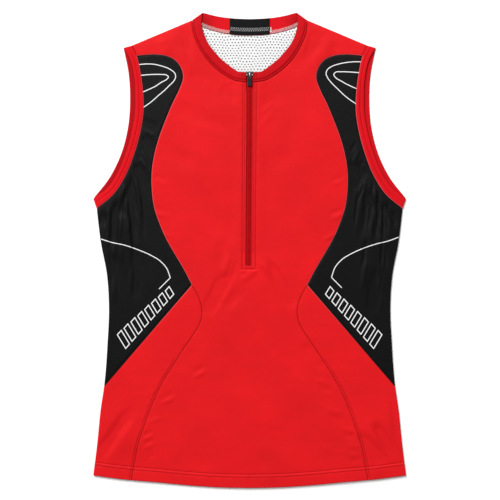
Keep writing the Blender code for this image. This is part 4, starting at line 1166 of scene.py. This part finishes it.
def knit_fill(tree, given):
    """Jersey: stitch columns and rows as two crossed waves, the rows shifted on every other column."""
    place = add(tree, "ShaderNodeSeparateXYZ", i0=given["Position"])
    across, down = (calc(tree, "DIVIDE", place.outputs[k], given["Pitch"]) for k in (0, 1))
    column = calc(tree, "ABSOLUTE", calc(tree, "SINE", times(tree, across, 2 * math.pi)))
    row = calc(tree, "SINE", times(tree, column, 1.3, times(tree, down, 2 * math.pi * 1.25)))
    long = add(tree, "ShaderNodeVectorMath", {"operation": "MULTIPLY"}, i0=given["Position"],
               i1=(0.3, 1.0, 1.0))
    return {"Height": times(tree, column, 0.6, times(tree, row, 0.22)),
            "Cloud": noise(tree, given["Position"], 16.0, 3.0),
            "Fleck": noise(tree, given["Position"], 520.0, 1.0),
            "Streak": step_down(tree, noise(tree, long.outputs[0], 85.0, 3.0), 0.38, 0.62)}


def sewn_fill(tree, given):
    """Sewing from the distances kept on the cloth: painted shade along a piece's border at its seams and edges,
    the thread, painted shade in the thread's valley, and a painted highlight on the edge beside dark cloth."""
    # The first and the third of these are painted shade and the last is a painted highlight; the second is the
    # thread.
    return {"Seam": step_down(tree, given["Border"], 0.25, given["Seam Width"]),
            "Thread": step_down(tree, given["Stitch"], 0.15, 0.75),
            "Valley Shade": step_down(tree, given["Stitch"], 0.3, 2.2),
            "Pale": step_down(tree, given["Dark Seam"], 0.7, 1.3)}


def net_fill(tree, given):
    """Open mesh: one hole in the middle of each cell, the cells of every other row shifted by half."""
    position = given["Position"]
    place = add(tree, "ShaderNodeSeparateXYZ", i0=position)
    drift = times(tree, noise(tree, position, 130.0), 0.0024, -0.0012)
    sway = times(tree, noise(tree, position, 45.0), 0.006, -0.003)
    row = calc(tree, "DIVIDE", calc(tree, "ADD", place.outputs[1], sway), given["Pitch Y"])
    odd = calc(tree, "FLOORED_MODULO", calc(tree, "FLOOR", row), 2.0)
    along = calc(tree, "DIVIDE", calc(tree, "ADD", place.outputs[0], drift), given["Pitch X"])
    column = times(tree, odd, 0.5, along)
    off_x, off_y = (times(tree, calc(tree, "SUBTRACT", calc(tree, "FRACT", cell), 0.5), pitch)
                    for cell, pitch in ((column, given["Pitch X"]), (row, given["Pitch Y"])))
    away = calc(tree, "SQRT", calc(tree, "ADD", times(tree, off_x, off_x), times(tree, off_y, off_y)))
    share = calc(tree, "DIVIDE", away, given["Hole"])
    hole = times(tree, step_down(tree, share, 0.3, 0.68), times(tree, noise(tree, position, 300.0), 1.0, 0.5))
    rim = times(tree, step_down(tree, share, 0.6, 1.3), calc(tree, "SUBTRACT", 1.0, hole))
    return {"Hole": hole, "Rim": rim}


def weave_fill(tree, given):
    """Plain weave: crossed waves, over and under, whose product changes sign from thread to thread."""
    place = add(tree, "ShaderNodeSeparateXYZ", i0=given["Position"])
    across, along = (calc(tree, "DIVIDE", place.outputs[k], given["Pitch"]) for k in (0, 1))
    warp, weft = (calc(tree, "SINE", times(tree, thread, math.pi)) for thread in (across, along))
    return {"Height": times(tree, times(tree, warp, weft), 0.5, 0.5),
            "Cloud": noise(tree, given["Position"], 60.0, 2.0)}


def wear_fill(tree, given):
    """Metal and rubber: fine grain and soft patches where hands have polished it."""
    return {"Grain": noise(tree, given["Position"], 2600.0, 2.0),
            "Patch": noise(tree, given["Position"], 240.0, 2.0)}


def number(label, value):
    """A group's input for a number, with its first value."""
    return label, "NodeSocketFloat", value


VECTOR = ("Position", "NodeSocketVector", None)
GROUPS = {
    "Jersey knit": ([VECTOR, number("Pitch", 0.0011)], ("Height", "Cloud", "Fleck", "Streak"), knit_fill),
    "Sewing with painted light": ([number("Border", 9.0), number("Stitch", 9.0), number("Dark Seam", 9.0),
                      number("Seam Width", 1.2)], ("Seam", "Thread", "Valley Shade", "Pale"), sewn_fill),
    "Net holes": ([VECTOR, number("Pitch X", 0.0047), number("Pitch Y", 0.002), number("Hole", 0.001)],
                  ("Hole", "Rim"), net_fill),
    "Plain weave": ([VECTOR, number("Pitch", 0.0006)], ("Height", "Cloud"), weave_fill),
    "Handled surface": ([VECTOR], ("Grain", "Patch"), wear_fill),
}


def use_group(tree, name, **inputs):
    """One of the shared groups placed in a tree, with values or links for its inputs."""
    made = tree.nodes.new("ShaderNodeGroup")
    made.node_tree = group_of(name, *GROUPS[name])
    for label, value in inputs.items():
        link_to(tree, made.inputs[label.replace("_", " ")], value)
    return made.outputs


def start_material(name, roughness, specular=0.5, metallic=0.0):
    """A material, its tree, its Principled shader, and its place on the object."""
    made = bpy.data.materials.new(name)
    made.use_nodes = True
    tree = made.node_tree
    shader = tree.nodes["Principled BSDF"]
    for label, value in (("Roughness", roughness), ("Specular IOR Level", specular), ("Metallic", metallic)):
        shader.inputs[label].default_value = value
    return made, tree, shader, tree.nodes.new("ShaderNodeTexCoord").outputs["Object"]


def ended(made, tree, shader, shade, height, distance):
    """The material, its colour joined to the shader, and its height to the normal by a Bump node."""
    bump = tree.nodes.new("ShaderNodeBump")
    bump.inputs["Strength"].default_value = 1.0
    bump.inputs["Distance"].default_value = distance
    tree.links.new(height, bump.inputs["Height"])
    tree.links.new(bump.outputs[0], shader.inputs["Normal"])
    tree.links.new(shade, shader.inputs["Base Color"])
    return made


def sewing_of(tree, width):
    """The sewing of a piece, with its painted shade and painted highlight, from its own attributes."""
    return use_group(tree, "Sewing with painted light", Seam_Width=width, Border=kept(tree, "border"),
                     Stitch=kept(tree, "stitch"), Dark_Seam=kept(tree, "dark_seam"))


def tinted(colour, factor=1.0):
    """A colour made darker or lighter, with its alpha."""
    return tuple(min(1.0, part * factor) for part in colour[:3]) + (1.0,)


def knit_material(name, colour, pale, specular, roughness, pitch):
    """Knitted polyester: its knit, slow clouds in its tone, painted shade in its seams and beside its stitch
    lines, darker thread, the painted shade kept on the piece, and a painted highlight on the edge beside dark
    cloth."""
    made, tree, shader, place = start_material(name, roughness, specular)
    knit = use_group(tree, "Jersey knit", Position=place, Pitch=pitch)
    marks = sewing_of(tree, 1.3)
    shade = blend(tree, knit["Cloud"], tinted(colour, 0.86), tinted(colour, 1.12))
    # Fleck and streak are tone and the thread is its colour; the mark beside a stitch line, the seam's mark and
    # the shade kept on the piece are painted shade.
    for mark, share, factor in ((knit["Fleck"], 0.14, 0.55), (knit["Streak"], 0.14, 0.72),
                                (marks["Valley Shade"], 0.12, 0.5), (marks["Thread"], 0.65, 0.4),
                                (marks["Seam"], 0.6, 0.34), (kept(tree, "shade"), 1.0, 0.4)):
        shade = blend(tree, times(tree, mark, share), shade, tinted(colour, factor))
    # A painted highlight on the edge beside dark cloth.
    if pale:
        shade = blend(tree, times(tree, marks["Pale"], pale), shade, PAINTED_EDGE_HIGHLIGHT)
    return ended(made, tree, shader, shade, times(tree, marks["Thread"], -1.2, knit["Height"]), 0.00010)


def net_material(name, size, colours):
    """White open mesh: painted shade in its holes, which have a raised rim, and painted shade along its border,
    over a fine knit.
    """
    made, tree, shader, place = start_material(name, 0.85, 0.2)
    net = use_group(tree, "Net holes", Position=place, Pitch_X=size.net_pitch_x, Pitch_Y=size.net_pitch_y / 2,
                    Hole=size.net_hole)
    knit = use_group(tree, "Jersey knit", Position=place, Pitch=size.knit * 0.8)
    white = colours.white
    shade = blend(tree, knit["Cloud"], tinted(white, 0.95), tinted(white, 1.05))
    # Painted shade in each hole.
    shade = blend(tree, net["Hole"], shade, tinted(colours.net_hole))
    # Painted shade along the mesh's seams and edges.
    shade = blend(tree, times(tree, sewing_of(tree, 1.2)["Seam"], 0.4), shade, tinted(white, 0.5))
    height = times(tree, net["Rim"], 1.2, times(tree, knit["Height"], 0.4))
    return ended(made, tree, shader, shade, times(tree, net["Hole"], -3.0, height), 0.00012)


def weave_material(name, colour, pitch, specular, roughness):
    """Woven tape: its weave and a slow change of tone."""
    made, tree, shader, place = start_material(name, roughness, specular)
    weave = use_group(tree, "Plain weave", Position=place, Pitch=pitch)
    shade = blend(tree, weave["Cloud"], tinted(colour, 0.82), tinted(colour, 1.2))
    shade = blend(tree, times(tree, weave["Height"], 0.35), shade, tinted(colour, 0.55))
    return ended(made, tree, shader, shade, weave["Height"], 0.00012)


def thread_material(name, colour, roughness=0.6):
    """Twisted thread or nylon: bands of tone across it."""
    made, tree, shader, place = start_material(name, roughness, 0.06)
    weave = use_group(tree, "Plain weave", Position=place, Pitch=0.00032)
    shade = blend(tree, weave["Height"], tinted(colour, 0.75), tinted(colour, 1.15))
    return ended(made, tree, shader, shade, weave["Height"], 0.00005)


def hard_material(name, colour, metallic, roughness, edge):
    """Enamelled metal or moulded rubber: grain in its surface, and paler, smoother patches from handling."""
    made, tree, shader, place = start_material(name, roughness, 0.2, metallic)
    wear = use_group(tree, "Handled surface", Position=place)
    patch = step_down(tree, wear["Patch"], 0.34, 0.56)
    shade = blend(tree, times(tree, patch, edge), tinted(colour), tinted(colour, 2.6))
    tree.links.new(times(tree, patch, -0.12, roughness), shader.inputs["Roughness"])
    return ended(made, tree, shader, shade, wear["Grain"], 0.00002)


def print_material(name, colour):
    """White transfer print on cloth: slightly uneven, with the knit showing through."""
    made, tree, shader, place = start_material(name, 0.55, 0.4)
    knit = use_group(tree, "Jersey knit", Position=place, Pitch=0.0009)
    shade = blend(tree, times(tree, knit["Fleck"], 0.3), tinted(colour), tinted(colour, 0.72))
    return ended(made, tree, shader, shade, knit["Height"], 0.00005)


def finish(name, scene):
    """A finish by its name, built the first time it is asked for."""
    if name in bpy.data.materials:
        return bpy.data.materials[name]
    size, colours = scene.tank_sizes, scene.tank_colours
    makers = {
        "Red jersey": (knit_material, colours.red, 0.5, 0.10, 0.6, size.knit),
        "Red binding": (knit_material, colours.binding, 0.55, 0.06, 0.6, size.knit * 0.9),
        "Black jersey": (knit_material, colours.black, 0.0, 0.11, 0.47, size.knit),
        "White mesh": (net_material, size, colours),
        "Black facing": (weave_material, colours.facing, 0.0008, 0.12, 0.7),
        "Zip tape": (weave_material, colours.tape, 0.0006, 0.08, 0.75),
        "Zip coil": (thread_material, colours.coil, 0.42),
        "Red thread": (thread_material, colours.thread),
        "White thread": (thread_material, colours.white),
        "Grey thread": (thread_material, colours.grey_thread),
        "White print": (print_material, colours.print),
        "Dark metal": (hard_material, colours.metal, 1.0, 0.30, 0.5),
        "Grey metal": (hard_material, colours.body_metal, 1.0, 0.28, 0.4),
        # The wings' pale metal is a painted highlight.
        "Worn metal": (hard_material, colours.worn_metal, 1.0, 0.34, 0.3),
        # The crown's bright metal is a painted highlight.
        "Bright metal": (hard_material, colours.bright_metal, 1.0, 0.24, 0.3),
        "Pull rubber": (hard_material, colours.rubber, 0.0, 0.52, 0.25),
    }
    maker, *settings = makers[name]
    return maker(name, *settings)


# What a user changes

def length(name, description, default):
    """A length in metres."""
    return FloatProperty(name=name, description=description, default=default, unit="LENGTH", precision=5)


def colour(name, description, default):
    """A colour."""
    return FloatVectorProperty(name=name, description=description, default=default, subtype="COLOR",
                               min=0.0, max=1.0)


class TankSizes(bpy.types.PropertyGroup):
    """Sizes of the cloth, its sewing and its folds"""
    wall: length("Jersey", "Thickness of one layer of jersey", 0.0012)
    hem_wall: length("Hem", "Thickness of the turned-up hem", 0.0017)
    band_wall: length("Binding", "Thickness of the folded neck and armhole bindings", 0.0016)
    facing_wall: length("Facing", "Thickness of the facing inside the back neck", 0.001)
    seam_dip: length("Seam valley", "How deep the cloth is drawn down at a seam", 0.00045)
    stitch_dip: length("Stitch valley", "How deep the cloth is drawn down at a stitch line", 0.00024)
    stitch_pitch: length("Stitch pitch", "From one stitch to the next", 0.0026)
    stitch_length: length("Stitch length", "Length of the thread seen at one stitch", 0.0021)
    thread: length("Thread", "Diameter of the sewing thread", 0.00042)
    knit: length("Knit pitch", "From one column of knit stitches to the next", 0.0011)
    net_pitch_x: length("Mesh columns", "From one hole of the mesh back to the next in a row", 0.0047)
    net_pitch_y: length("Mesh rows", "From one row of holes to the next but one", 0.0080)
    net_hole: length("Mesh hole", "Diameter of a hole with its soft rim in the mesh back", 0.0018)
    fold_depth: FloatProperty(name="Fold depth", description="Depth of the folds, as a share of their own",
                              default=1.45, min=0.0, max=1.8, subtype="FACTOR")


class TankColours(bpy.types.PropertyGroup):
    """Colours of the cloth and the zip"""
    red: colour("Red jersey", "Front, lower sides", (0.66, 0.0060, 0.0092))
    binding: colour("Red binding", "Neck and armhole bindings", (0.62, 0.0045, 0.0100))
    black: colour("Black jersey", "Dark side panels", (0.0018, 0.0019, 0.0022))
    white: colour("White mesh", "Back", (0.72, 0.72, 0.72))
    net_hole: colour("Mesh hole", "Shadow in a hole of the mesh", (0.055, 0.060, 0.060))
    facing: colour("Facing", "Inside the back neck", (0.0022, 0.0024, 0.0025))
    tape: colour("Zip tape", "Woven tape beside the coil", (0.42, 0.0026, 0.0048))
    coil: colour("Zip coil", "Nylon coil", (0.56, 0.0034, 0.0080))
    thread: colour("Red thread", "Sewing of the red cloth", (0.44, 0.0030, 0.0070))
    grey_thread: colour("Grey thread", "Sewing of the facing", (0.62, 0.62, 0.63))
    print: colour("White print", "Lines on the dark panels", (0.80, 0.80, 0.81))
    metal: colour("Dark metal", "Ring of the pull", (0.045, 0.047, 0.049))
    body_metal: colour("Grey metal", "Body of the slider", (0.075, 0.077, 0.080))
    # Pale metal of the slider's wings: a painted highlight.
    worn_metal: colour("Worn metal", "Wings of the slider", (0.34, 0.31, 0.27))
    # Bright metal of the slider's crown: a painted highlight.
    bright_metal: colour("Bright metal", "Crown of the slider", (0.80, 0.80, 0.78))
    rubber: colour("Rubber", "Grip of the pull", (0.0052, 0.0058, 0.0062))
    floor: colour("Floor", "Surface that the top lies on", (0.93, 0.93, 0.93))


class TankLight(bpy.types.PropertyGroup):
    """Light of the studio"""
    sky: FloatProperty(name="Room", description="Strength of the even light from all round", default=0.42,
                       min=0.0)
    key: FloatProperty(name="Key", description="Power of the soft light from the upper left, in watts",
                       default=492.0, min=0.0)
    key_size: FloatProperty(name="Key size", description="Side of the square that the key light fills",
                            default=3.6, min=0.1, unit="LENGTH")


# Operators, one for each piece or group of like pieces

class TANK_OT_front(bpy.types.Operator):
    """Lays the red front, one piece below the zip and two edges beside it above"""
    bl_idname = "tank.front"
    bl_label = "Front"

    def execute(self, context):
        size = context.scene.tank_sizes
        grids = [front_half(1, size), front_half(-1, size)[:, ::-1]]
        made = cloth("front_cloth", grids, finish("Red jersey", context.scene), size,
                     nodes=["front_panel"], lean=True)
        return {"FINISHED"}


class TANK_OT_back(bpy.types.Operator):
    """Lays the white mesh back on the surface"""
    bl_idname = "tank.back"
    bl_label = "Mesh back"

    def execute(self, context):
        size = context.scene.tank_sizes
        half = back_half(size)
        right, left = (laid(half, side, back_height, None, size) for side in (1, -1))
        made = cloth("back_cloth", [right, left[:, ::-1]], finish("White mesh", context.scene),
                     size, nodes=["back_panel"])
        return {"FINISHED"}


class TANK_OT_sides(bpy.types.Operator):
    """Lays the dark side panels and the red ones below them, wrapped round on to the back"""
    bl_idname = "tank.sides"
    bl_label = "Side panels"

    def execute(self, context):
        size = context.scene.tank_sizes
        black, red = finish("Black jersey", context.scene), finish("Red jersey", context.scene)
        for side, word in SIDES:
            upper = cloth("side_upper_cloth_" + word, side_upper(side, size), black, size,
                          side=side, nodes=["side_upper_" + word])
            lower = cloth("side_lower_cloth_" + word, side_lower(side, size), red, size,
                          side=side, nodes=["side_lower_" + word])
        return {"FINISHED"}


def neck_shade(points, border):
    """Painted shade on the inside of the back neckband, towards the shoulders, where the front band lies above
    it, and a little darkening all over the front band."""
    low = 1 - ramp(points[:, 2], 1.2, 2.4)
    inside = low * ramp(np.abs(points[:, 0]), 44, 74) * (1 - 0.5 * ramp(points[:, 1], 338, 349))
    return np.maximum(NECK_SHADE * inside, BAND_SHADE * (1 - low))


def arm_shade(points, border):
    """Shade on the inside of the back armhole band, all but its outer rim, more on the side that the key light
    reaches in to."""
    depth = np.where(points[:, 0] < 0, *ARM_SHADE)
    return depth * (1 - ramp(points[:, 2], 1.2, 2.6)) * ramp(border, 0.5, 2.2)


class TANK_OT_bands(bpy.types.Operator):
    """Lays the bindings of the neck and the armholes, and the facing inside the back neck"""
    bl_idname = "tank.bands"
    bl_label = "Bindings"

    def execute(self, context):
        size = context.scene.tank_sizes
        wall = size.band_wall / MM
        red = finish("Red binding", context.scene)
        grids = neckband_half(1, size) + [grid[:, ::-1] for grid in neckband_half(-1, size)]
        neck = cloth("neckband_cloth", grids, red, size, wall, nodes=["neckband"],
                     shade=neck_shade)
        for side, word in SIDES:
            band = cloth("armhole_band_cloth_" + word, armhole_grids(side, size), red, size,
                         wall, side, nodes=["armhole_band_" + word], shade=arm_shade)
        facing = cloth("neck_facing_cloth", [facing_grid(size)], finish("Black facing", context.scene),
                       size, size.facing_wall / MM, -1, nodes=["neck_patch"], rounded=0.5)
        return {"FINISHED"}


class TANK_OT_zip(bpy.types.Operator):
    """Lays the closed zip: two woven tapes and the two halves of its nylon coil"""
    bl_idname = "tank.zip"
    bl_label = "Zip"

    def execute(self, context):
        size = context.scene.tank_sizes
        woven, nylon = finish("Zip tape", context.scene), finish("Zip coil", context.scene)
        for side, word in SIDES:
            tape = cloth("zip_tape_cloth_" + word, [tape_grid(side, size)], woven, size, TAPE_WALL,
                         side, nodes=["zip_tape_" + word], rounded=0.4, lean=True)
            tube("zip_coil_" + word, [leaned(coil_path(side))], COIL_WIRE, 6, nylon, "garment")
        return {"FINISHED"}


class TANK_OT_slider(bpy.types.Operator):
    """Sets the slider at the top of the zip, with its crown, ring and grip"""
    bl_idname = "tank.slider"
    bl_label = "Slider and pull"

    def execute(self, context):
        scene = context.scene
        pillow("slider_body", SLIDER_BODY, finish("Grey metal", scene), "garment",
               ["zip_slider"])
        angle = np.linspace(0, math.pi, 25)
        arch = np.column_stack([0 * angle, CROWN_Y + CROWN_HALF * np.cos(angle),
                                CROWN_FOOT + CROWN_RISE * np.sin(angle) ** 0.62])
        # The crown's bright metal is a painted highlight.
        strap("slider_crown", arch, CROWN_BAR, finish("Bright metal", scene), "garment")
        # The wings' pale metal is a painted highlight.
        for side, word in SIDES:
            pillow("slider_wing_" + word, SLIDER_WING, finish("Worn metal", scene), "garment",
                   side=side)
        angle = np.arange(56) * 2 * math.pi / 56
        x, y = (half * np.sign(wave) * np.abs(wave) ** 0.8
                for half, wave in zip(RING_HALF, (np.cos(angle), np.sin(angle))))
        ring = np.column_stack([x, HINGE_Y - RING_HALF[1] + y, 0 * angle + HINGE_Z])
        loop = tube("pull_ring", [ring], RING_WIRE, 12, finish("Dark metal", scene), "pull_tab",
                    closed=True)
        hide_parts("pull_loop")
        pillow("pull_grip_cover", GRIP, finish("Pull rubber", scene), "pull_tab", ["pull_grip"],
               GRIP_RIB)
        return {"FINISHED"}


def triangle(value, length):
    """Straight zigzag between -1 and 1, which repeats after a length: the arcsine of a sine."""
    return 2 / math.pi * np.arcsin(np.sin(value * 2 * math.pi / length))


class TANK_OT_sewing(bpy.types.Operator):
    """Sews the stitch lines along the seams, the hem, the zip and the back neck"""
    bl_idname = "tank.sewing"
    bl_label = "Sewing"

    def execute(self, context):
        size, scene = context.scene.tank_sizes, context.scene
        red = finish("Red thread", scene)

        def both(name):
            """A stitch line on the right and its mirror on the left, in the plane."""
            return [SEAMS[name], sided(SEAMS[name], -1)]

        arm = SEAMS["arm"]
        middle = shifted(arm, band_width(arm)[:, None] / 2)[5:-5]
        hem = [line[np.abs(line[:, 0]) < HEM_STITCH_END] for line in both("hem_low") + both("hem_high")]

        def on_top(lines, lift=0.0):
            """Lines laid on the top of the cloth, and lifted."""
            return [top_of(line, size, lift) for line in lines]

        for name, slot, lines in (
                ("hem_stitches", "red_jersey", on_top(hem)),
                ("zip_stitches", "red_jersey", [leaned(line) for line in on_top(both("zip") + both("box"))]),
                ("princess_stitches", "red_jersey", on_top(both("princess_stitch"))),
                ("neck_stitches", "red_binding", on_top(both("neck_stitch"), 0.05)),
                ("armhole_stitches", "red_binding", on_top([middle, sided(middle, -1)], -0.1))):
            stitches(name, lines, red, size)
        self.back_neck(scene, size)
        return {"FINISHED"}

    def back_neck(self, scene, size):
        """Cover stitches along the inside of the back neck: a zigzag between two rows, white on the red band
        and grey on the dark facing, and a short bar of white stitches at the facing's end."""
        white, grey = finish("White thread", scene), finish("Grey thread", scene)
        seam = spaced(smooth(BACK_NECK_SEAM), 400)
        top = size.band_wall / MM
        line = seam[(seam[:, 0] > PATCH_HALF + 0.6) & (seam[:, 0] < COVER_END)]
        even = spaced(line, 400)
        middle, swing, step = COVER_ZIGZAG
        zigzag = shifted(even, (middle + swing * triangle(run_of(even), step))[:, None])
        lines = [np.column_stack([sided(zigzag, side), 0 * even[:, 0] + top + 0.22]) for side in (-1, 1)]
        tube("cover_stitch_zigzag", lines, 0.22, 5, white, "garment")
        rows = [np.column_stack([sided(shifted(line, off), side), 0 * line[:, 0] + top + 0.1])
                for off in COVER_ROWS for side in (-1, 1)]
        stitches("cover_stitch_rows", rows, white, size)
        x = np.linspace(-PATCH_HALF + 0.8, PATCH_HALF - 0.8, 420)
        base = np.interp(np.abs(x), seam[:, 0], seam[:, 1]) + PATCH_INSET
        height = 0 * x + top + SEAT + size.facing_wall / MM
        rows = [np.column_stack([x, base + off, height - 0.1]) for off in FACING_STITCH]
        stitches("facing_rows", rows, grey, size)
        middle, swing, step = FACING_ZIGZAG
        zigzag = np.column_stack([x, base + middle + swing * triangle(x, step), height + 0.04])
        tube("facing_zigzag", [zigzag], 0.17, 5, grey, "garment")
        y = np.linspace(*BAR_Y, 160)
        bar = np.column_stack([BAR_X + triangle(y, BAR_ZIGZAG), y, 0 * y + top + 0.35])
        tube("bar_of_stitches", [bar], 0.26, 5, white, "garment")


class TANK_OT_lines(bpy.types.Operator):
    """Prints the white lines and the plain row of slanted bars on the dark side panels"""
    bl_idname = "tank.lines"
    bl_label = "White lines"

    def execute(self, context):
        size, white = context.scene.tank_sizes, finish("White print", context.scene)
        for side, word in SIDES:
            lines = []
            for points in WHITE_LINES[word]:
                line = smooth(points, 400)
                lines.append(spaced(line, max(8, int(run_of(line)[-1] / 0.9))))
            ribbon("white_lines_" + word, lines, LINE_WIDTH, white, size)
            start, end = np.array(BAR_ROW, float)
            way = unit(end - start)
            bars = []
            for share, height in BARS:
                foot = start + (end - start) * share
                lift = left_of(way) * height - way * BAR_LEAN * height / BARS[-1][1]
                wide = foot + way * BAR_WIDTH
                corners = np.array([foot, wide, wide + lift, foot + lift, foot])
                line = np.concatenate([spaced(corners[k:k + 2], 12)[:-1] for k in range(4)])
                bars.append(sided(line, side))
            ribbon("slanted_bars_" + word, bars, BAR_STROKE, white, size, closed=True)
        return {"FINISHED"}


class TANK_OT_stage(bpy.types.Operator):
    """Sets the pale floor, the soft light and the camera straight above"""
    bl_idname = "tank.stage"
    bl_label = "Studio"

    def execute(self, context):
        scene = context.scene
        self.floor(scene)
        self.light(scene)
        data = bpy.data.cameras.new("camera")
        data.lens, data.sensor_width = LENS, SENSOR
        data.clip_start, data.clip_end = 0.05, 20.0
        camera = bpy.data.objects.new("camera", data)
        camera.location = CAMERA
        scene.collection.objects.link(camera)
        scene.camera = camera
        return {"FINISHED"}

    def floor(self, scene):
        """A flat floor just under the cloth, as a grid of a few faces, with a faint grain."""
        x, y = np.meshgrid(*[np.linspace(-FLOOR_HALF, FLOOR_HALF, 9)] * 2)
        points = np.stack([x, y, 0 * x - FLOOR_DROP], axis=-1).reshape(-1, 3)
        made = bpy.data.objects.new("floor", mesh_of("floor", points, grid_faces(9, 9)))
        material, tree, shader, place = start_material("Pale floor", 0.9, 0.2)
        pale = scene.tank_colours.floor
        shade = blend(tree, noise(tree, place, 3.0), tinted(pale, 0.99), tinted(pale, 1.01))
        tree.links.new(shade, shader.inputs["Base Color"])
        made.data.materials.append(material)
        scene.collection.objects.link(made)

    def light(self, scene):
        """Even light from all round and one broad light from the upper left."""
        world = bpy.data.worlds.new("studio")
        world.use_nodes = True
        back = world.node_tree.nodes["Background"]
        back.inputs[0].default_value = (1.0, 1.0, 1.0, 1.0)
        back.inputs[1].default_value = scene.tank_light.sky
        scene.world = world
        data = bpy.data.lights.new("key", "AREA")
        data.energy, data.size = scene.tank_light.key, scene.tank_light.key_size
        key = bpy.data.objects.new("key", data)
        key.location = KEY_PLACE
        key.rotation_euler = (-key.location).to_track_quat("-Z", "Y").to_euler()
        scene.collection.objects.link(key)
        scene.view_settings.view_transform = "Standard"


STEPS = (TANK_OT_back, TANK_OT_front, TANK_OT_sides, TANK_OT_bands, TANK_OT_zip, TANK_OT_slider,
         TANK_OT_sewing, TANK_OT_lines, TANK_OT_stage)


class TANK_PT_panel(bpy.types.Panel):
    """Sidebar with the sizes, the colours and one button for each group of pieces"""
    bl_idname = "TANK_PT_panel"
    bl_label = "Cycling tank top"
    bl_space_type = "VIEW_3D"
    bl_region_type = "UI"
    bl_category = "Tank top"

    def draw(self, context):
        for step in STEPS:
            self.layout.operator(step.bl_idname)
        for owner in (context.scene.tank_sizes, context.scene.tank_colours, context.scene.tank_light):
            box = self.layout.box()
            for name in owner.bl_rna.properties.keys():
                if name not in ("rna_type", "name"):
                    box.prop(owner, name)


CLASSES = (TankSizes, TankColours, TankLight) + STEPS + (TANK_PT_panel,)
GROUP_NAMES = {"tank_sizes": TankSizes, "tank_colours": TankColours, "tank_light": TankLight}


def register():
    """Adds the classes and the properties that hold the sizes, colours and light."""
    for item in CLASSES:
        bpy.utils.register_class(item)
    for name, kind in GROUP_NAMES.items():
        setattr(bpy.types.Scene, name, PointerProperty(type=kind))


def unregister():
    """Removes the properties and the classes."""
    for name in GROUP_NAMES:
        delattr(bpy.types.Scene, name)
    for item in reversed(CLASSES):
        bpy.utils.unregister_class(item)


def main():
    """Builds every piece in order."""
    register()
    for step in STEPS:
        area, name = step.bl_idname.split(".")
        getattr(getattr(bpy.ops, area), name)()


if __name__ == "__main__":
    main()
